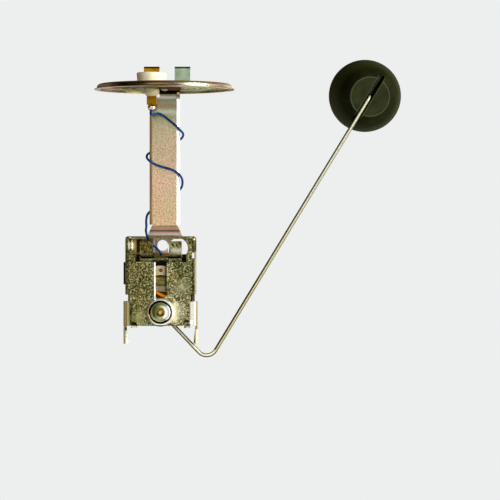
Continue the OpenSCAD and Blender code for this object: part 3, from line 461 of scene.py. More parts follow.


# Painted light and shade on the stem bracket: a shaded left strip and a painted white highlight on the right
# strip of the stem, a painted highlight and painted reflection bands at its top bend, a painted black shadow
# under the foot with a painted highlight at its right end, painted reflection bands on the joggle, a darker
# tray with a painted highlight on its inner left wall and painted shade inside, painted shade and highlight
# lines on the tongues, and a shaded left wing and lit right wing.
STEM_PATCHES = [
    (tone(230, 190, 128), 0.9, "MIX", {"x": (-7, -4.95), "z": (-57, -3)}),
    (tone(255, 255, 252), 1.0, "MIX", {"x": (4.95, 7), "z": (-57, -3)}),
    (tone(252, 255, 248), 0.9, "MIX", {"edge": 0.4, "x": (-6, 4.6), "z": (-3.6, -2.4)}),
    (tone(150, 172, 140), 0.6, "MIX", {"edge": 0.5, "x": (-6, 4.8), "z": (-5.3, -4.1)}),
    (tone(146, 122, 106), 0.55, "MIX", {"edge": 0.5, "x": (-6, 4.8), "z": (-7.3, -5.8)}),
    (tone(206, 218, 196), 0.5, "MIX", {"edge": 0.7, "x": (-6, 4.8), "z": (-9.8, -8)}),
    (tone(96, 50, 34), 0.95, "MIX", {"edge": 0.15, "y": (-20, -2), "z": (-0.7, 0.7)}),
    (tone(8, 6, 3), 1.0, "MIX", {"edge": 0.15, "y": (-2, 8), "z": (-1.7, 0.7)}),
    (tone(252, 236, 180), 1.0, "MIX", {"edge": 0.15, "x": (5.2, 6), "y": (-2, 8),
                                       "z": (-1.7, -1.0)}),
    (tone(150, 96, 60), 0.9, "MIX", {"edge": 0.12, "x": (-6, 6), "z": (-55.9, -55.4)}),
    (tone(196, 160, 138), 0.95, "MIX", {"edge": 0.3, "x": (-9, 9), "z": (-57.2, -55.8)}),
    (tone(60, 66, 34), 0.9, "MIX", {"edge": 0.15, "x": (-9, 9), "z": (-57.8, -57.2)}),
    (tone(236, 176, 186), 0.95, "MIX", {"edge": 0.2, "x": (-9, 9), "z": (-58.5, -57.8)}),
    (tone(255, 252, 250), 1.0, "MIX", {"edge": 0.15, "x": (-9, 9), "z": (-59.1, -58.5)}),
    (tone(206, 196, 150), 0.9, "MULTIPLY", {"edge": 0.6, "x": (-20, 20), "z": (-120, -60.2)}),
    (tone(120, 104, 44), 1.0, "MIX", {"x": (-16, -11.4), "z": (-66.5, -60.8)}),
    (tone(254, 252, 226), 1.0, "MIX", {"edge": 0.6, "x": (-16, -12.3), "z": (-64.9, -61.9)}),
    (tone(206, 164, 60), 0.9, "MIX", {"edge": 0.3, "x": (-12.5, -11.7), "z": (-66.5, -61)}),
    (tone(56, 34, 14), 1.0, "MIX", {"x": (-11.5, -9.4), "z": (-66.5, -60.8)}),
    (tone(244, 216, 208), 0.6, "MIX", {"x": (-3.4, 2.6), "z": (-66.5, -60.8)}),
    (tone(255, 255, 250), 1.0, "MIX", {"edge": 0.12, "x": (-4.7, -3.9), "z": (-66.4, -60.9)}),
    (tone(150, 146, 96), 1.0, "MIX", {"x": (-14.1, -11), "z": (-98, -94)}),
    (tone(34, 30, 10), 0.95, "MIX", {"edge": 0.2, "x": (-14.1, -11), "z": (-96.0, -95.2)}),
    (tone(214, 206, 198), 1.0, "MIX", {"edge": 0.1, "x": (-14.1, -11), "z": (-98, -96.3)}),
    (tone(206, 204, 186), 1.0, "MIX", {"x": (9, 11.6), "z": (-98, -94)}),
    (tone(44, 38, 16), 0.95, "MIX", {"edge": 0.3, "x": (9, 11.6), "z": (-96.1, -95.2)}),
    (tone(44, 38, 16), 0.8, "MIX", {"edge": 0.3, "x": (9, 9.7), "z": (-96.4, -94)}),
    (tone(186, 178, 138), 0.9, "MIX", {"x": (-20, -14.3), "z": (-97.2, -84)}),
    (tone(140, 112, 88), 0.8, "MIX", {"edge": 0.1, "x": (-16.15, -15.9), "z": (-97.2, -86)}),
    (tone(124, 94, 30), 0.9, "MIX", {"edge": 0.25, "x": (-15.5, -14.8), "z": (-97.2, -84)}),
    (tone(136, 130, 98), 0.9, "MIX", {"x": (-20, -13), "z": (-120, -97.2)}),
    (tone(255, 255, 240), 0.95, "MIX", {"edge": 0.2, "x": (-15.6, -13), "z": (-120, -98)}),
    (tone(20, 18, 6), 0.95, "MIX", {"edge": 0.2, "x": (-15.9, -13), "z": (-98, -96.6)}),
    (tone(160, 152, 100), 0.9, "MIX", {"edge": 0.15, "x": (-14.6, -13.9), "z": (-97, -87)}),
    (tone(255, 255, 240), 0.95, "MIX", {"edge": 0.5, "x": (10.6, 12.6), "z": (-96, -86)}),
    (tone(178, 158, 114), 0.9, "MIX", {"edge": 0.15, "x": (12.6, 20), "z": (-97, -86)}),
    (tone(250, 246, 222), 0.8, "MIX", {"edge": 0.3, "x": (12.8, 20), "z": (-120, -97.5)}),
]


def stem_zinc():
    f = Finish("satin_passivated_zinc", roughness=0.36, Specular_IOR_Level=0.0)
    streak = f.noise(0.45, 4, 0.8, (1, 1, 0.5))
    cloud = f.noise(6, 3, 0.6)
    speck = f.noise(0.62, 4, 0.85)
    height = f.axis("Z", -104, -2)
    wander = f.maths("ADD", height, f.maths("MULTIPLY", f.maths("SUBTRACT", cloud, 0.5), 0.25))
    base = f.ramp(wander, [(0.0, tone(206, 192, 146)), (0.40, tone(206, 186, 144)),
                           (0.46, tone(255, 236, 200)), (0.66, tone(250, 228, 206)),
                           (0.84, tone(212, 208, 184)), (0.93, tone(178, 188, 160)),
                           (1.0, tone(206, 202, 174))])
    grey = f.ramp(streak, [(0.34, tone(176, 166, 148)), (0.5, tone(236, 230, 216)),
                           (0.64, tone(255, 252, 246))])
    base = f.mix(0.8, base, grey, "MULTIPLY")
    dots = f.ramp(speck, [(0.36, tone(140, 118, 90)), (0.49, tone(232, 226, 214)),
                          (0.58, tone(255, 255, 255))])
    base = f.mix(0.85, base, dots, "MULTIPLY")
    blush = f.ramp(f.noise(4.5, 3, 0.6), [(0.38, tone(226, 236, 214)), (0.5, tone(250, 240, 236)),
                                          (0.62, tone(255, 222, 224))])
    base = f.mix(0.45, base, blush, "MULTIPLY")
    f.colour(f.painted(base, STEM_PATCHES))
    # Metal is turned off where the painted reflection bands and painted shade must show as they are: the
    # joggle, the bend under the foot, the wings and the tongues.
    dull = f.maths("ADD", f.zone(0.3, x=(-9, 9), z=(-59.4, -55.6)),
                   f.zone(0.15, y=(-20, 8), z=(-1.7, 0.7)), clamp=True)
    for x, z in (((-20, -14.5), (-120, -85)), ((-14.3, -10.9), (-98, -93.8)),
                 ((8.9, 11.7), (-98, -93.8)), ((12.8, 20), (-120, -97))):
        dull = f.maths("ADD", dull, f.zone(0.15, x=x, z=z), clamp=True)
    f.tree.links.new(f.span(dull, 0, 1, 1.0, 0.0), f.shader.inputs["Metallic"])
    f.rough(streak, 0.26, 0.42)
    f.bump((f.noise(14, 2, 0.4), 0.25), (streak, 0.02), (speck, 0.02))
    return f.material


# Painted light and shade on the flange: paler left and right ends of the shoulder, a painted highlight right
# of the middle, painted dark streaks on the left of the near shoulder, and darker lip ends.
FLANGE_PATCHES = [
    (tone(250, 214, 198), 0.85, "MIX", {"edge": 3.5, "x": (-34, -20), "z": (0.3, 2.6)}),
    (tone(232, 190, 176), 0.7, "MIX", {"edge": 3, "x": (20, 34), "z": (0.3, 2.6)}),
    (tone(244, 238, 222), 0.75, "MIX", {"edge": 3.5, "x": (4, 18), "y": (-40, 0),
                                        "z": (0.5, 1.9)}),
    (tone(56, 24, 10), 0.5, "MIX", {"edge": 0.5, "x": (-21, -14), "y": (-40, 0),
                                   "z": (0.1, 1.3)}),
    (tone(60, 30, 14), 0.5, "MIX", {"edge": 0.35, "x": (-14.5, -2), "y": (-40, 0),
                                    "z": (0.1, 0.7)}),
    (tone(150, 150, 112), 0.8, "MIX", {"edge": 0.8, "x": (-34, -26.4), "z": (-1, 1.2)}),
    (tone(150, 150, 112), 0.8, "MIX", {"edge": 0.8, "x": (26.4, 34), "z": (-1, 1.2)}),
    (tone(58, 22, 14), 0.6, "MULTIPLY", {"edge": 3, "x": (-23, -3), "y": (-40, 0),
                                         "z": (1.1, 1.9)}),
]


def flange_zinc():
    f = Finish("bright_yellow_zinc", roughness=0.16, Specular_IOR_Level=0.0)
    split = node(f.tree, "ShaderNodeSeparateXYZ", [(0, f.place)])
    flat = node(f.tree, "ShaderNodeCombineXYZ", [("X", split.outputs["X"]),
                                                ("Y", split.outputs["Y"])]).outputs[0]
    reach = node(f.tree, "ShaderNodeVectorMath", [(0, flat)], operation="LENGTH").outputs["Value"]
    ring = f.maths("MULTIPLY", reach, 1 / (2.6 * MM))
    ring = node(f.tree, "ShaderNodeTexNoise", [
        ("Vector", node(f.tree, "ShaderNodeCombineXYZ", [
            ("X", ring), ("Y", f.maths("MULTIPLY", split.outputs["X"], 30)),
            ("Z", f.maths("MULTIPLY", split.outputs["Z"], 300))]).outputs[0]),
        ("Scale", 1.0), ("Detail", 2.0)]).outputs[0]
    fine = f.noise(0.6, 4, 0.7)
    base = f.ramp(ring, [(0.30, tone(128, 92, 74)), (0.40, tone(196, 176, 128)),
                         (0.47, tone(116, 124, 76)), (0.55, tone(226, 210, 172)),
                         (0.64, tone(150, 104, 92)), (0.74, tone(214, 214, 170))])
    marks = f.ramp(fine, [(0.32, tone(190, 184, 160)), (0.5, tone(255, 255, 250))])
    base = f.mix(0.5, base, marks, "MULTIPLY")
    # Painted light across the flange: shaded left of the middle, with a painted highlight right of the middle.
    side = f.ramp(f.axis("X", -28, 28), [(0.0, tone(206, 186, 150)), (0.35, tone(176, 170, 130)),
                                         (0.58, tone(188, 186, 150)), (0.72, tone(244, 238, 222)),
                                         (1.0, tone(226, 212, 190))])
    base = f.mix(0.9, base, side, "MULTIPLY")
    # The underside: metal turned off and its bands painted lighter, a painted reflection of what lies below
    # it.
    under = f.maths("MULTIPLY", f.span(reach, 26.2 * MM, 26.7 * MM, 1.0, 0.0),
                    f.span(split.outputs["Z"], 1.3 * MM, 1.5 * MM, 1.0, 0.0))
    deep = f.ramp(ring, [(0.30, tone(156, 104, 88)), (0.40, tone(214, 206, 160)),
                         (0.47, tone(96, 114, 66)), (0.55, tone(238, 236, 204)),
                         (0.64, tone(160, 112, 104)), (0.74, tone(200, 214, 168))])
    base = f.mix(under, base, f.mix(0.5, deep, side, "MULTIPLY"))
    base = f.painted(base, FLANGE_PATCHES)
    pale = f.zone(3.5, x=(-34, -20), z=(-1, 2.6))
    # A dark red-brown band on the shoulder's top edge: a painted dark reflection of the dark above, with the
    # metal turned mostly off there.
    brown = f.maths("MULTIPLY", f.zone(0.15, z=(1.75, 3)),
                    f.span(reach, 25.6 * MM, 26.2 * MM))
    base = f.mix(f.maths("MULTIPLY", brown, 0.9), base, tone(104, 36, 28))
    # The top face inside the shoulder: a paler painted colour standing for light falling on it from above.
    dish = f.maths("MULTIPLY", f.span(reach, 25.2 * MM, 25.6 * MM, 1.0, 0.0),
                   f.span(split.outputs["Z"], 1.45 * MM, 1.55 * MM))
    bright = f.ramp(ring, [(0.30, tone(196, 186, 140)), (0.45, tone(220, 214, 176)),
                           (0.55, tone(186, 194, 152)), (0.70, tone(228, 218, 184))])
    f.colour(f.mix(dish, base, bright))
    # Metal is turned off where the painted light and shade must show as they are: the pale left end, the top
    # edge, the underside and the right lip end.
    dull = f.maths("MAXIMUM", f.maths("MULTIPLY", pale, 0.9), f.maths("MULTIPLY", brown, 0.8))
    dull = f.maths("MAXIMUM", dull, under)
    dull = f.maths("MAXIMUM", dull, f.zone(0.8, x=(26.2, 34), z=(-1, 1.2)))
    f.tree.links.new(f.span(dull, 0, 1, 1.0, 0.0), f.shader.inputs["Metallic"])
    f.rough(fine, 0.18, 0.3)
    f.bump((f.noise(16, 2, 0.4), 0.25), (fine, 0.012))
    return f.material


def plain_metal(name, dark, light, rough, grain=0.5, relief=0.012, stretch=(1, 1, 1),
                patches=()):
    """Metal with fine grain between two colours."""
    f = Finish(name, metallic=1.0, roughness=rough)
    fine = f.noise(grain, 4, 0.7, stretch)
    cloud = f.noise(grain * 9, 2, 0.5)
    both = f.maths("ADD", f.maths("MULTIPLY", fine, 0.5), f.maths("MULTIPLY", cloud, 0.5))
    f.colour(f.painted(f.ramp(both, [(0.34, dark), (0.62, light)]), patches))
    f.rough(fine, rough * 0.8, min(1.0, rough * 1.25))
    f.bump((fine, relief))
    return f.material


def plain_plastic(name, dark, light, rough, grain=0.4, relief=0.01, patches=(), **constant):
    """Moulding with faint flow marks and a fine skin."""
    f = Finish(name, roughness=rough, **constant)
    flow = f.noise(7, 2, 0.5, (1, 1, 2))
    skin = f.noise(grain, 3, 0.6)
    both = f.maths("ADD", f.maths("MULTIPLY", flow, 0.75), f.maths("MULTIPLY", skin, 0.25))
    f.colour(f.painted(f.ramp(both, [(0.36, dark), (0.62, light)]), patches))
    f.rough(skin, rough * 0.85, min(1.0, rough * 1.12))
    f.bump((skin, relief))
    return f.material


def float_skin(centre, rise, across, back):
    """Dull olive moulding with painted light and shade: a paler flat as painted front light with a thin
    painted highlight on its rim, painted shade darker towards the left, painted light round the outer edge, a
    painted black shadow in the wire slot with a painted lit stripe on one wall, and painted highlights along
    the slot's edges.
    """
    f = Finish("moulded_olive_float", roughness=0.6, Specular_IOR_Level=0.05)
    spot = node(f.tree, "ShaderNodeVectorMath", [(0, f.place), (1, centre * MM)],
                operation="SUBTRACT").outputs[0]

    def along(way):
        return node(f.tree, "ShaderNodeVectorMath", [(0, spot), (1, way)],
                    operation="DOT_PRODUCT").outputs["Value"]

    u, v, deep = along(rise), along(across), along(back)
    reach = f.maths("SQRT", f.maths("ADD", f.maths("MULTIPLY", u, u), f.maths("MULTIPLY", v, v)))
    cloud = f.noise(7, 4, 0.6)
    skin = f.noise(0.35, 3, 0.7)
    both = f.maths("ADD", f.maths("MULTIPLY", cloud, 0.6), f.maths("MULTIPLY", skin, 0.4))
    body = f.ramp(both, [(0.36, tone(17, 18, 1)), (0.50, tone(27, 29, 4)),
                         (0.64, tone(40, 42, 12))])
    split = node(f.tree, "ShaderNodeSeparateXYZ", [(0, spot)])
    # Painted shade darker towards the left, and painted light round the outer edge.
    left = f.span(split.outputs["X"], -7 * MM, 5 * MM, 0.6, 1.0)
    outer = f.span(reach, 9 * MM, 14 * MM, 0.72, 1.25)
    level = f.maths("MULTIPLY", left, outer)
    shade = node(f.tree, "ShaderNodeCombineColor", [(0, level), (1, level), (2, level)])
    body = f.mix(1.0, body, shade.outputs[0], "MULTIPLY")
    body = f.mix(f.span(reach, 11.6 * MM, 14.2 * MM, 0.0, 0.75), body, tone(48, 51, 22))
    # The flat: a paler painted colour standing for the front light on it.
    face = f.ramp(both, [(0.36, tone(24, 27, 9)), (0.50, tone(33, 37, 15)),
                         (0.64, tone(43, 47, 24))])
    flat = f.span(reach, 7.95 * MM, 8.15 * MM, 1.0, 0.0)
    near = f.span(deep, -0.6 * MM, 0.9 * MM, 1.0, 0.0)
    tint = f.mix(f.maths("MULTIPLY", flat, near), body, face)
    # A thin painted highlight on the flat's rim.
    rim = f.maths("MULTIPLY", f.span(reach, 7.7 * MM, 7.95 * MM), f.span(
        reach, 8.1 * MM, 8.3 * MM, 1.0, 0.0))
    tint = f.mix(f.maths("MULTIPLY", f.maths("MULTIPLY", rim, near), 0.55), tint,
                 tone(76, 82, 58))
    # A painted black shadow in the wire slot, a painted lit stripe on one wall, and painted highlights along
    # the slot's edges on the flat.
    wide = node(f.tree, "ShaderNodeMath", [(0, v)], operation="ABSOLUTE").outputs[0]
    slot = f.maths("MULTIPLY", f.span(wide, 1.0 * MM, 1.25 * MM, 1.0, 0.0),
                   f.span(deep, -0.75 * MM, -0.45 * MM))
    slot = f.maths("MULTIPLY", slot, f.span(deep, 2.2 * MM, 3 * MM, 1.0, 0.0))
    slot = f.maths("MULTIPLY", slot, f.span(u, 10.0 * MM, 10.2 * MM, 1.0, 0.0))
    aside = node(f.tree, "ShaderNodeMath", [(0, f.maths("SUBTRACT", v, 0.2 * MM))],
                 operation="ABSOLUTE").outputs[0]
    lit_wall_stripe = f.maths("MULTIPLY", slot, f.span(aside, 0.08 * MM, 0.3 * MM, 1.0, 0.0))
    tint = f.mix(f.maths("MULTIPLY", slot, 0.93), tint, tone(3, 3, 1))
    tint = f.mix(lit_wall_stripe, tint, tone(70, 76, 42))
    lip = f.maths("MULTIPLY", f.span(wide, 1.15 * MM, 1.3 * MM), f.span(
        wide, 1.45 * MM, 1.65 * MM, 1.0, 0.0))
    reach_ok = f.span(u, 9.6 * MM, 10.4 * MM, 1.0, 0.0)
    lip = f.maths("MULTIPLY", f.maths("MULTIPLY", lip, near), f.maths("MULTIPLY", reach_ok, 0.6))
    f.colour(f.mix(lip, tint, tone(66, 72, 44)))
    f.rough(skin, 0.55, 0.75)
    f.bump((cloud, 0.06), (skin, 0.025))
    return f.material


def enamel_blue():
    f = Finish("blue_enamelled_lead", roughness=0.36, Specular_IOR_Level=0.12)
    wear = f.noise(1.6, 3, 0.6)
    f.colour(f.ramp(wear, [(0.32, tone(0, 24, 66)), (0.5, tone(0, 50, 108)),
                           (0.68, tone(0, 80, 152))]))
    f.rough(wear, 0.26, 0.42)
    f.bump((f.noise(0.5, 3, 0.6), 0.01))
    return f.material


def drawn_wire():
    """Drawn wire with a painted highlight along its middle and painted shade on its sides, along both legs and
    the corner.
    """
    f = Finish("drawn_wire", roughness=0.3, metallic=0.5, Specular_IOR_Level=0.0)
    bend = LEG_1_FALL + LEG_2_RISE
    up = Vector((math.sin(LEG_1_FALL), 0, math.cos(LEG_1_FALL)))
    centre = PIVOT + LEG_DOWN * (LEG_1 - CORNER_R * math.tan(bend / 2)) + up * CORNER_R
    spot = node(f.tree, "ShaderNodeVectorMath", [(0, f.place), (1, centre * MM)],
                operation="SUBTRACT").outputs[0]
    spot = node(f.tree, "ShaderNodeVectorMath", [(0, spot), (1, (1, 0, 1))],
                operation="MULTIPLY").outputs[0]

    def along(way):
        return node(f.tree, "ShaderNodeVectorMath", [(0, spot), (1, way)],
                    operation="DOT_PRODUCT").outputs["Value"]

    def past(value, low):
        return f.span(value, low * MM, (low + 0.001) * MM)

    far = node(f.tree, "ShaderNodeVectorMath", [(0, spot)], operation="LENGTH").outputs["Value"]
    side = past(along(LEG_DOWN + LEG_UP), 0)
    first = f.maths("MULTIPLY", f.maths("SUBTRACT", 1, past(along(LEG_DOWN), 0)),
                    f.maths("SUBTRACT", 1, side))
    second = f.maths("MULTIPLY", past(along(LEG_UP), 0), side)
    turn = f.maths("MULTIPLY", f.maths("SUBTRACT", 1, first), f.maths("SUBTRACT", 1, second))
    inner = f.maths("ADD", f.maths("MULTIPLY", f.maths("MULTIPLY", far, -1), turn), f.maths(
        "ADD", f.maths("MULTIPLY", along(up), first), f.maths("MULTIPLY", along(LEG_OVER), second)))
    half = WIRE_D / 2
    # Painted highlight along the middle and painted shade on the sides, set by the place across the wire.
    level = f.span(inner, (-CORNER_R - half) * MM, (-CORNER_R + half) * MM)
    lower = f.ramp(level, [(0.0, tone(36, 34, 12)), (0.18, tone(66, 64, 30)),
                           (0.34, tone(180, 176, 134)), (0.55, tone(250, 246, 216)),
                           (0.76, tone(206, 202, 172)), (0.88, tone(76, 72, 42)),
                           (1.0, tone(40, 36, 14))])
    upper = f.ramp(level, [(0.0, tone(64, 54, 28)), (0.16, tone(106, 94, 54)),
                           (0.34, tone(214, 202, 152)), (0.5, tone(180, 172, 130)),
                           (0.66, tone(80, 62, 26)), (0.86, tone(30, 18, 4)),
                           (1.0, tone(20, 12, 2))])
    top = f.ramp(level, [(0.0, tone(84, 80, 54)), (0.2, tone(156, 150, 114)),
                         (0.45, tone(206, 204, 180)), (0.66, tone(128, 128, 106)),
                         (0.86, tone(44, 42, 28)), (1.0, tone(30, 28, 16))])
    high = f.span(along(LEG_UP), 30 * MM, 75 * MM)
    f.colour(f.mix(second, lower, f.mix(high, upper, top)))
    grain = f.noise(1.2, 3, 0.6)
    f.rough(grain, 0.24, 0.4)
    return f.material


SLOT_SHADE = [(tone(12, 9, 3), 0.9, "MIX", {"edge": 0.25, "x": (0.35, 1.8), "z": (-87, -69)})]
# Brighter gold on the spindle's tip at the pivot: the brass colour, lightened as a painted highlight.
PIN_TIP = [(tone(250, 196, 70), 0.95, "MIX", {"edge": 0.35, "x": (-2.2, -1), "y": (-9, -4),
                                              "z": (-91.5, -89.9)})]
# Painted shade on the top end of both spade blades.
BLADE_TOP = [(tone(62, 14, 10), 1.0, "MIX", {"edge": 0.12, "y": (-20, -3.05), "z": (8.85, 12)})]
LEG_UP = Vector((math.cos(LEG_2_RISE), 0, math.sin(LEG_2_RISE)))
LEG_OVER = Vector((-math.sin(LEG_2_RISE), 0, math.cos(LEG_2_RISE)))
AXIS_BACK = Vector((0, math.cos(FLOAT_ROLL), 0)) + LEG_OVER * math.sin(FLOAT_ROLL)
LEG_DOWN = Vector((math.cos(LEG_1_FALL), 0, -math.sin(LEG_1_FALL)))
FLOAT_FRAME = (PIVOT + LEG_DOWN * LEG_1 + LEG_UP * LEG_2, LEG_UP, LEG_UP.cross(AXIS_BACK),
               AXIS_BACK)
MATERIAL = {
    "zinc_bright": flange_zinc(),
    "zinc_pale": plain_metal("pale_zinc", tone(112, 134, 108), tone(166, 182, 154), 0.42,
                             patches=BLADE_TOP),
    "zinc_stem": stem_zinc(),
    "zinc_case": spangled_zinc(),
    "dark_steel": plain_metal("dark_spring_steel", tone(58, 48, 34), tone(128, 118, 92), 0.34),
    "wire_steel": drawn_wire(),
    "brass": plain_metal("brass_strip", tone(112, 78, 6), tone(178, 130, 18), 0.32, 0.8,
                         patches=BLADE_TOP + PIN_TIP),
    "bronze": plain_metal("orange_bronze", tone(214, 104, 12), tone(246, 152, 40), 0.4),
    "silver": plain_metal("contact_metal", tone(200, 200, 196), tone(242, 242, 240), 0.2),
    "solder": plain_metal("solder", tone(150, 148, 140), tone(238, 236, 228), 0.22, 0.8, 0.05),
    "brown_eyelet": plain_metal("brown_eyelet", tone(84, 52, 22), tone(140, 96, 52), 0.4),
    # Painted shade on the insulator: browner on its left side and darker below the flange.
    "nylon": plain_plastic("ivory_nylon", tone(244, 234, 202), tone(252, 246, 222), 0.42,
                           patches=[(tone(196, 150, 100), 0.75, "MIX",
                                     {"edge": 1.4, "x": (-16, -9.8)}),
                                    (tone(200, 184, 140), 0.8, "MULTIPLY",
                                     {"edge": 0.3, "z": (-8, 0.9)})],
                           Subsurface_Weight=0.12, Subsurface_Scale=0.001),
    "cream_plastic": plain_plastic("cream_moulding", tone(168, 154, 112), tone(196, 184, 142),
                                   0.5, patches=SLOT_SHADE),
    "card": plain_plastic("brown_card", tone(96, 62, 32), tone(132, 92, 54), 0.7, 0.3, 0.02),
    "winding": plain_metal("resistance_wire", tone(126, 118, 62), tone(214, 200, 128), 0.38, 0.5,
                           patches=SLOT_SHADE),
    "black_plastic": plain_plastic("black_moulding", tone(1, 1, 1), tone(6, 6, 4), 0.6,
                                   Specular_IOR_Level=0.06),
    "blue_cover": enamel_blue(),
    "float_rubber": float_skin(*FLOAT_FRAME),
}


BURNISHED = plain_metal("burnished_zinc", tone(176, 164, 130), tone(226, 216, 186), 0.2, 0.8,
                        0.006)


def dress(obj, nodes, material=None):
    """Gives a piece its finish, its body and the nodes that it stands for."""
    first = nodes[0]
    obj.data.materials.clear()
    obj.data.materials.append(material or MATERIAL[SLOT[first]])
    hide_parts(*nodes)
    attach(obj, BODY[first])
    return obj


# ---------------------------------------------------------------- pieces from the CAD

ROUND = {
    "terminal_bush": 0.18, "terminal_blade": 0.09, "earth_blade": 0.09, "stem_bracket": 0.13,
    "case_cover": 0.10, "cross_rod": 0.15, "resistor_base": 0.12, "resistor_holder": 0.15,
    "resistor_former": 0.1, "front_bush": 0.06, "rear_bush": 0.08, "spring_washer": 0,
    "spindle": 0.1, "wiper_hub": 0.1, "wiper_blade": 0.05,
    "spindle_clip": 0.05, "arm_clamp": 0.1, "float_clip": 0.06,
}
for name, width in ROUND.items():
    dress(from_cad(name, width), [name])


# ---------------------------------------------------------------- flange

def flange():
    """Pressed disc: low web, raised ring, round shoulder, turned lip with a soft edge."""
    t, web_r = SHEET, SIDE_R - 7
    shoulder = (SIDE_R - 1.4, SHOULDER_H - 1.4)
    profile = [(0, WEB_H), (12, WEB_H), (web_r - 0.4, WEB_H)]
    profile += [(web_r + 0.4, WEB_H + 0.1), (web_r + 1.2, SHOULDER_H - 0.1)]
    profile += [(web_r + 2.0, SHOULDER_H), (web_r + 3.4, SHOULDER_H)]
    profile += arc(shoulder, 1.4, 90, 0, 10)
    profile += [(SIDE_R + 0.04, 0.60), (SIDE_R + 0.25, 0.45)]
    profile += arc((LIP_R - 0.2, 0.2), 0.2, 70, -90, 6)
    profile += [(SIDE_R, 0.0), (SIDE_R - t, 0.0)]
    profile += arc(shoulder, 0.4, 0, 90, 5)
    profile += [(web_r + 2.3, SHOULDER_H - t), (web_r + 1.5, SHOULDER_H - t - 0.1)]
    profile += [(web_r + 0.7, WEB_H - t + 0.1), (web_r, WEB_H - t), (0, WEB_H - t)]
    obj = turned("pressed_flange", profile, (0, 0, 0), "Z", 160)
    return soften(obj, 0)


dress(flange(), ["flange_plate"])


def washer_ring():
    """Push-on washer: a thin ring whose cut teeth bite on the neck."""
    high = WEB_H - SHEET
    low = high - 0.4
    ring = turned("neck_washer", [
        (3.5, low + 0.08), (3.88, low + 0.08), (3.9, low + 0.14), (3.9, high - 0.06),
        (3.86, high), (3.5, high)], (TERMINAL[0], TERMINAL[1], 0), "Z", 64)
    tooth = mesh_object("washer_teeth", [
        (r, w * side, high + rise) for r, w, rises in ((3.12, 0.9, (-0.38, -0.22)),
                                                      (3.55, 1.05, (-0.3, -0.04)))
        for rise in rises for side in (-1, 1)],
        [(0, 1, 3, 2), (4, 5, 7, 6), (0, 1, 5, 4), (2, 3, 7, 6), (0, 2, 6, 4), (1, 3, 7, 5)],
        smooth=False)
    tooth = run_tree(tooth, teeth_tree(), Count=8,
                     Centre=(TERMINAL[0] * MM, TERMINAL[1] * MM, 0),
                     Material=MATERIAL["dark_steel"])
    return ring, tooth


for part in washer_ring():
    dress(part, ["bush_washer"])


def rivet():
    """Domed head below the foot, flat upset head above the blade's foot."""
    low, high = WEB_H - SHEET - 0.9, WEB_H + 0.8
    dome = [(0, low - 0.75), (0.3, low - 0.735), (0.6, low - 0.66), (0.9, low - 0.52),
            (1.14, low - 0.33), (1.29, low - 0.12), (1.33, low)]
    stack = dome + [(0.8, low), (0.8, high), (1.25, high)]
    stack += [(1.33, high + 0.1), (1.3, high + 0.26), (1.1, high + 0.33), (0.5, high + 0.34),
              (0.3, high + 0.28), (0, high + 0.27)]
    return turned("foot_rivet", stack, (RIVET[0], RIVET[1], 0), "Z", 48)


dress(soften(rivet(), 0), ["flange_rivet"])


def solder_blob(name, nodes, centre, reach, height, lean):
    """Frozen drop that wets out to a thin edge, leaning to one side."""
    rings = []
    for i in range(9):
        t = i / 8
        r = reach * math.cos(t * math.pi / 2) ** 0.75
        rings.append((max(r, 0.0), -height * math.sin(t * math.pi / 2) ** 1.1))
    profile = [(0, 0.12), (reach * 0.98, 0.12)] + rings
    obj = turned(name, profile, centre, "Y", 40)
    for v in obj.data.vertices:
        rise = (centre[1] * MM - v.co.y) / (height * MM)
        if rise > 0:
            v.co.x += lean[0] * MM * rise
            v.co.z += lean[1] * MM * rise
            wave = math.sin(v.co.x * 3100) * math.cos(v.co.z * 2700)
            v.co.y += 0.05 * MM * wave * (1 - rise)
    return dress(soften(obj, 0), nodes)


solder_blob("eye_solder", ["terminal_solder"], (TERMINAL[0], -3.6, -7.2), 1.4, 0.88,
            (0.12, -0.1))
solder_blob("eyelet_solder", ["lead_solder"], (PIVOT.x + 0.2, 0.9, PIVOT.z + 17.1), 0.7, 0.15,
            (0, 0))


def eyelet():
    """Browned tubular eyelet with a rolled front rim."""
    y = -4.6
    return turned("holder_eyelet", [
        (0.0, y - 0.05), (0.28, y - 0.05), (0.32, y - 0.22), (0.45, y - 0.29), (0.6, y - 0.24),
        (0.72, y - 0.1), (0.75, y), (0.3, y), (0.3, 0.5), (0.8, 0.5), (0.78, 0.7), (0.0, 0.75)],
        (PIVOT.x + 0.2, 0, PIVOT.z + 17.1), "Y", 32)


dress(soften(eyelet(), 0), ["holder_rivet"])


# ---------------------------------------------------------------- wound resistor

def winding():
    seed = mesh_object("resistor_turns", [(0, 0, 0), (0.1, 0, 0), (0, 0, 0.1)], [(0, 1, 2)])
    return run_tree(seed, winding_tree(), Turns=96, Arc_Radius=12.95 * MM,
                    Half_Angle=math.radians(49.6), Turn_Width=4.0 * MM, Turn_Depth=1.6 * MM,
                    Turn_Corner=0.35 * MM, Wire_Radius=0.1 * MM,
                    Centre=(PIVOT.x * MM, -1.9 * MM, PIVOT.z * MM),
                    Material=MATERIAL["winding"])


dress(winding(), ["resistor_winding"])


def contact():
    """Domed contact under the wiper's tip."""
    r, a = 12.95, math.radians(124)
    y = -3.2
    return turned("wiper_dome", [(0, y), (0.7, y), (0.68, y + 0.12), (0.55, y + 0.26),
                                 (0.35, y + 0.35), (0.15, y + 0.385), (0, y + 0.39)],
                  (PIVOT.x + r * math.cos(a), 0, PIVOT.z + r * math.sin(a)), "Y", 24)


dress(soften(contact(), 0), ["wiper_contact"])


# ---------------------------------------------------------------- cover details

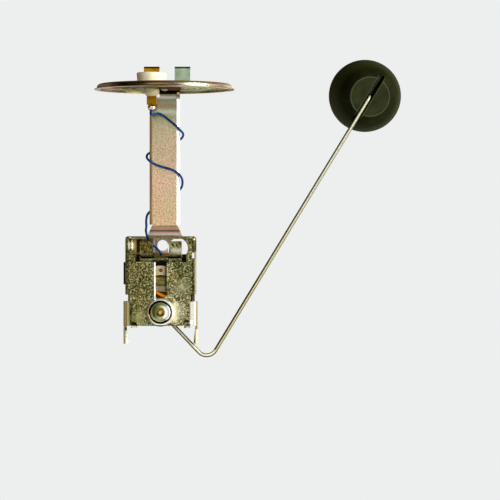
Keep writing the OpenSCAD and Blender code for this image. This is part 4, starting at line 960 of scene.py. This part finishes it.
def boss_ring():
    """Drawn rim round the pivot, smooth, with painted highlights and painted shade in its finish."""
    y = COVER_Y
    return turned("boss_rim", [
        (4.16, y + 1.15), (4.16, y - 0.2), (4.5, y - 0.55), (4.6, y - 0.74), (4.78, y - 0.9), (5.02, y - 0.93),
        (5.24, y - 0.68), (5.42, y - 0.27), (5.62, y - 0.06), (5.8, y - 0.015),
        (5.8, y + 0.3), (5.0, y + 0.3), (4.9, y + 1.15)], (PIVOT.x, 0, PIVOT.z), "Y", 72)


# The cup's finish: painted shade on the left of the dome, a painted highlight on its right, a painted black
# shadow round the rim at the top, left and bottom, and painted shade in the lower part of the recess.
CUP = plain_metal("drawn_cup", tone(112, 118, 80), tone(176, 178, 138), 0.3, 0.8, 0.004, patches=[
    (tone(50, 54, 16), 0.9, "MIX", {"edge": 0.8, "x": (-4.9, -2.8), "z": (-92.6, -87.6)}),
    (tone(76, 80, 38), 0.6, "MIX", {"edge": 0.8, "x": (-6.5, -2), "z": (-92.6, -86.5)}),
    (tone(255, 255, 250), 1.0, "MIX", {"edge": 0.4, "x": (-0.2, 3.4), "z": (-93.4, -88.0)}),
    (tone(216, 220, 170), 0.8, "MIX", {"edge": 0.4, "x": (-1.2, 0.6), "z": (-89.0, -88.0)}),
    (tone(12, 6, 2), 1.0, "MIX", {"edge": 0.06, "r": (3.9, 5), "x": (-9, 1.2),
                                  "z": (-90.8, -84)}),
    (tone(150, 140, 96), 0.9, "MIX", {"edge": 0.06, "r": (3.84, 5), "x": (-9, -4.5),
                                      "z": (-94.5, -90.8)}),
    (tone(16, 18, 6), 1.0, "MIX", {"edge": 0.06, "r": (3.84, 5), "z": (-98, -93.6)}),
    (tone(112, 106, 56), 0.8, "MIX", {"edge": 0.03, "y": (-5.71, -4)}),
    (tone(18, 16, 6), 0.95, "MIX", {"edge": 0.25, "x": (-3.2, 0.3), "y": (-5.71, -4),
                                    "z": (-93, -91.1)})])
# The rim's finish: painted shade on its left flank, a painted black shadow inside its inner wall at the top,
# left and bottom, and painted highlights on its right, top and bottom.
RIM = plain_metal("rim_painted_light_and_shade", tone(170, 160, 128), tone(206, 198, 166), 0.22, 0.8, 0.004,
                  patches=[(tone(178, 158, 132), 0.9, "MIX",
                            {"edge": 1, "x": (-9, -4.6), "z": (-96, -87)}),
                           (tone(236, 232, 220), 0.9, "MIX", {"edge": 0.8, "z": (-98, -94)}),
                           (tone(216, 220, 208), 0.8, "MIX", {"edge": 0.8, "z": (-87.4, -84)}),
                           (tone(255, 255, 240), 0.8, "MIX",
                            {"edge": 0.8, "x": (2.5, 6), "z": (-93, -88)}),
                           (tone(112, 112, 74), 0.9, "MIX", {"edge": 0.12, "r": (5.42, 7),
                                                            "x": (-9, 2)}),
                           (tone(104, 76, 36), 1.0, "MIX", {"edge": 0.1, "r": (3, 4.74)}),
                           (tone(10, 3, 0), 1.0, "MIX", {"edge": 0.1, "r": (3, 4.86),
                                                         "x": (-8, 0.4), "z": (-91.4, -84)}),
                           (tone(16, 10, 4), 1.0, "MIX", {"edge": 0.1, "r": (3, 4.7),
                                                          "z": (-89.4, -84)}),
                           (tone(16, 18, 6), 1.0, "MIX", {"edge": 0.1, "r": (3, 4.66),
                                                          "z": (-98, -93)}),
                           (tone(36, 32, 14), 0.9, "MIX", {"edge": 0.1, "z": (-98, -95.8)})])
for smooth in (RIM, CUP):
    smooth.node_tree.nodes["Principled BSDF"].inputs["Metallic"].default_value = 0.25
    smooth.node_tree.nodes["Principled BSDF"].inputs["Specular IOR Level"].default_value = 0.0
dress(soften(boss_ring(), 0), ["case_cover"], RIM)


def cup():
    """Pressed washer: turned rim, groove, low dome and a recess round the spindle's tip."""
    rim, seat = COVER_Y - 0.75, COVER_Y + 0.85
    return turned("cup", [
        (1.05, seat - 0.4), (1.5, seat - 0.42), (1.72, seat - 0.5), (1.8, seat - 0.95),
        (1.95, seat - 1.06), (2.3, seat - 1.08), (2.75, seat - 1.0), (3.1, seat - 0.86),
        (3.35, seat - 0.68), (3.46, seat - 0.62), (3.54, seat - 0.78), (3.6, rim + 0.16),
        (3.68, rim + 0.03), (3.82, rim), (3.98, rim + 0.02), (4.08, rim + 0.12),
        (4.1, rim + 0.4), (3.7, rim + 0.5), (3.0, seat - 0.3), (1.9, seat), (1.05, seat)],
        (PIVOT.x, 0, PIVOT.z), "Y", 72)


dress(soften(cup(), 0), ["cup_washer"], CUP)


# ---------------------------------------------------------------- bars along paths

BAR = tube_tree()


def smooth_points(points, steps):
    """Points on a smooth curve through the listed ones."""
    out = []
    last = len(points) - 1
    for i in range(last):
        p0, p1 = points[max(0, i - 1)], points[i]
        p2, p3 = points[i + 1], points[min(last, i + 2)]
        for k in range(steps):
            t = k / steps
            out.append(0.5 * (2 * p1 + (p2 - p0) * t + (2 * p0 - 5 * p1 + 4 * p2 - p3) * t * t
                              + (3 * p1 - p0 - 3 * p2 + p3) * t ** 3))
    return out + [points[-1]]


def bar_on(name, points, diameter, sides, material):
    """Round bar along points in millimetres."""
    line = bpy.data.curves.new(name, "CURVE")
    line.dimensions = "3D"
    spline = line.splines.new("POLY")
    spline.points.add(len(points) - 1)
    for spot, p in zip(spline.points, points):
        spot.co = (*(p * MM), 1)
    obj = bpy.data.objects.new(name, line)
    bpy.context.scene.collection.objects.link(obj)
    return run_tree(obj, BAR, Radius=diameter / 2 * MM, Sides=sides, Material=material)


LEAD = [Vector(p) for p in (
    (-5.3, -4.2, -8.3), (-5.45, -3.5, -9.9), (-4.5, -2.7, -10.3), (-2.9, -2, -9.7),
    (-0.9, -1.3, -10.2), (1.5, -0.8, -12), (4.2, -0.65, -14.2), (6.3, -0.5, -16.3),
    (7.6, 1.4, -18), (6.6, 3.7, -19.8), (3, 3.9, -21.6), (-3, 4, -24.1), (-6.5, 4, -25.7),
    (-7.3, 1.6, -27.4), (-5.8, -0.5, -29.2), (-2.7, -0.65, -30.8), (1, -0.65, -31.9),
    (4, -0.65, -33), (6.3, -0.4, -34.8), (7.3, 1.4, -37.2), (6.5, 3.8, -40.2),
    (2.5, 3.9, -43.2), (-3, 4, -47.2), (-6.7, 3.9, -50.2), (-7.5, 1.6, -53),
    (-7.4, 0, -55.6), (-7.5, -1.6, -57.4), (-6.9, -3.3, -59.9), (-5.7, -4.2, -62.2),
    (-3.5, -4.1, -64.1), (-2.1, -3.6, -65.7), (-1.3, -2, -67.2), (-1.2, 0.2, -68.6),
    (-1.2, 1.15, -70.2), (-1.3, 1.3, -72.9))]
# A thin plain white bar along the slot's left edge: a painted highlight where the cut edge of the sheet
# catches the light.
SLOT_EDGE_HIGHLIGHT = plain_plastic("slot_edge_painted_highlight", tone(250, 248, 238), tone(255, 255, 250), 0.4)
EDGE = [Vector(p) for p in ((-3.8, COVER_Y, -70.3), (-3.8, COVER_Y, -84.2),
                            (-3.75, COVER_Y, -85.2), (-3.4, COVER_Y, -85.9))]
dress(bar_on("slot_edge", smooth_points(EDGE, 4), 0.7, 10, SLOT_EDGE_HIGHLIGHT), ["case_cover"], SLOT_EDGE_HIGHLIGHT)
dress(bar_on("blue_lead", smooth_points(LEAD, 6), 0.95, 14, MATERIAL["blue_cover"]),
      ["lead_wire"])


def arm_points():
    """First leg, corner, second leg and the bend into the float."""
    down = Vector((math.cos(LEG_1_FALL), 0, -math.sin(LEG_1_FALL)))
    up = Vector((math.sin(LEG_1_FALL), 0, math.cos(LEG_1_FALL)))
    rise = Vector((math.cos(LEG_2_RISE), 0, math.sin(LEG_2_RISE)))
    over = Vector((-math.sin(LEG_2_RISE), 0, math.cos(LEG_2_RISE)))
    back = Vector((0, math.cos(FLOAT_ROLL), 0)) + over * math.sin(FLOAT_ROLL)
    bend = LEG_1_FALL + LEG_2_RISE
    corner = PIVOT + down * LEG_1
    centre = PIVOT + down * (LEG_1 - CORNER_R * math.tan(bend / 2)) + up * CORNER_R
    points = [PIVOT + down * 1.9]
    for i in range(25):
        a = bend * i / 24
        points.append(centre + CORNER_R * (down * math.sin(a) - up * math.cos(a)))
    end = corner + rise * (LEG_2 - END_R) + back * END_R
    for i in range(13):
        a = math.radians(90) * i / 12
        points.append(end + END_R * (rise * math.sin(a) - back * math.cos(a)))
    points.append(corner + rise * LEG_2 + back * (FLOAT_FRONT + FLOAT_L + 1.2))
    return points, corner, rise, over, back


ARM, CORNER, RISE, OVER, BACK = arm_points()
dress(bar_on("bent_arm_wire", ARM, WIRE_D, 24, MATERIAL["wire_steel"]), ["arm_wire"])


# ---------------------------------------------------------------- float

def moulded_float():
    """Ball with two flats, a slot for the wire and a bore along its axis."""
    r, front, back = FLOAT_R, FLOAT_FRONT, FLOAT_FRONT + FLOAT_L
    mid = (front + back) / 2
    half = math.degrees(math.asin((FLOAT_L / 2) / r))
    bore = WIRE_D / 2 + 0.05
    edge = r * math.cos(math.radians(half))
    rim = 0.35
    profile = [(bore, front), (edge - rim, front), (edge - rim * 0.4, front + 0.06)]
    profile += arc((0, mid), r, -half + 1.6, half - 1.6, 40)
    profile += [(edge - rim * 0.4, back - 0.06), (edge - rim, back), (bore, back)]
    obj = turned("float_body", profile, (0, 0, 0), "Y", 112)
    slot = mesh_object("slot_cutter", [
        (x, y, z) for x in (-r - 1, 10.1) for y in (front - 1, front + 2.6)
        for z in (-1.2, 1.2)],
        [(0, 1, 3, 2), (4, 5, 7, 6), (0, 1, 5, 4), (2, 3, 7, 6), (0, 2, 6, 4), (1, 3, 7, 5)])
    cut = obj.modifiers.new("slot", "BOOLEAN")
    cut.object = slot
    cut.operation = "DIFFERENCE"
    cut.solver = "EXACT"
    settle(obj)
    bpy.data.objects.remove(slot)
    frame_at = Matrix.Identity(4)
    for column, axis in enumerate((RISE, BACK, RISE.cross(BACK))):
        for row in range(3):
            frame_at[row][column] = axis[row]
    frame_at.translation = (CORNER + RISE * LEG_2) * MM
    obj.data.transform(frame_at)
    return soften(obj, 0.14, 2, 38)


dress(moulded_float(), ["float"])


# ---------------------------------------------------------------- studio

def backdrop_material():
    """Pale to the camera and in gloss, plain diffuse to the light."""
    pale = tone(237, 239, 238)
    f = bpy.data.materials.new("pale_floor")
    f.use_nodes = True
    tree = f.node_tree
    tree.nodes.clear()
    path = tree.nodes.new("ShaderNodeLightPath")
    seen = node(tree, "ShaderNodeMath", [(0, path.outputs["Is Camera Ray"]),
                                        (1, path.outputs["Is Glossy Ray"])],
                operation="MAXIMUM", use_clamp=True)
    seen = node(tree, "ShaderNodeMath", [(0, seen.outputs[0]),
                                        (1, path.outputs["Is Transmission Ray"])],
                operation="MAXIMUM", use_clamp=True)
    diffuse = node(tree, "ShaderNodeBsdfDiffuse", [("Color", pale)])
    glow = node(tree, "ShaderNodeEmission", [("Color", pale), ("Strength", 1.0)])
    both = node(tree, "ShaderNodeMixShader", [(0, seen.outputs[0]), (1, diffuse.outputs[0]),
                                             (2, glow.outputs[0])])
    out = tree.nodes.new("ShaderNodeOutputMaterial")
    tree.links.new(both.outputs[0], out.inputs[0])
    return f


def studio():
    """Pale floor and surround, a large lamp at the right, a weak one in front, and surround light that dims
    above and to the left.
    """
    floor = mesh_object("floor", [(-3000, -3000, -212), (3000, -3000, -212), (3000, 3000, -212),
                                  (-3000, 3000, -212)], [(0, 1, 2, 3)], smooth=False)
    floor.data.materials.append(backdrop_material())
    world = bpy.data.worlds.new("surround")
    bpy.context.scene.world = world
    world.use_nodes = True
    tree = world.node_tree
    tree.nodes.clear()
    pale = tone(237, 239, 238)
    way = tree.nodes.new("ShaderNodeTexCoord").outputs["Generated"]
    split = node(tree, "ShaderNodeSeparateXYZ", [(0, way)])

    def span(source, low, high, a, b):
        made = node(tree, "ShaderNodeMapRange", [(0, source), (1, low), (2, high), (3, a),
                                                 (4, b)], interpolation_type="SMOOTHSTEP")
        return made.outputs[0]

    front = span(split.outputs["X"], -0.6, 0.8, 0.13, 1.1)
    back = span(split.outputs["X"], -0.30, 0.0, 0.16, 1.15)
    turn = span(split.outputs["Y"], -0.1, 0.3, 0.0, 1.0)
    right = node(tree, "ShaderNodeMix", [(0, turn), (2, front), (3, back)]).outputs[0]
    above = span(split.outputs["Z"], 0.12, 0.7, 1.0, 0.3)
    level = node(tree, "ShaderNodeMath", [(0, right), (1, above)], operation="MULTIPLY")
    warm = node(tree, "ShaderNodeMix", [(0, right)], data_type="RGBA")
    warm.inputs[6].default_value = (0.70, 0.44, 0.26, 1)
    warm.inputs[7].default_value = (1.0, 1.0, 0.98, 1)
    room = node(tree, "ShaderNodeBackground", [("Color", warm.outputs[2]),
                                              ("Strength", level.outputs[0])])
    seen = node(tree, "ShaderNodeBackground", [("Color", pale), ("Strength", 1.0)])
    path = tree.nodes.new("ShaderNodeLightPath")
    both = node(tree, "ShaderNodeMixShader", [(0, path.outputs["Is Camera Ray"]),
                                             (1, room.outputs[0]), (2, seen.outputs[0])])
    out = tree.nodes.new("ShaderNodeOutputWorld")
    tree.links.new(both.outputs[0], out.inputs[0])

    def lamp(name, place, aim, size, power):
        data = bpy.data.lights.new(name, "AREA")
        data.shape = "RECTANGLE"
        data.size, data.size_y = size
        data.energy = power
        obj = bpy.data.objects.new(name, data)
        obj.location = place
        obj.rotation_euler = (Vector(aim) - Vector(place)).to_track_quat("-Z", "Y").to_euler()
        bpy.context.scene.collection.objects.link(obj)

    middle = (0.02, 0, -0.05)
    lamp("right_softbox", (0.75, -0.45, 0.12), middle, (0.5, 0.8), 11.0)
    lamp("front_fill", (-0.25, -1.3, 0.45), middle, (0.8, 0.6), 4.0)


studio()
lens = bpy.data.cameras.new("photo_camera")
lens.sensor_width = 36
lens.lens = 188.4
camera = bpy.data.objects.new("photo_camera", lens)
camera.location = (0.0349, -1.068, -0.0653)
camera.rotation_euler = (math.radians(90), 0, 0)
bpy.context.scene.collection.objects.link(camera)
bpy.context.scene.camera = camera
bpy.context.scene.view_settings.view_transform = "Standard"
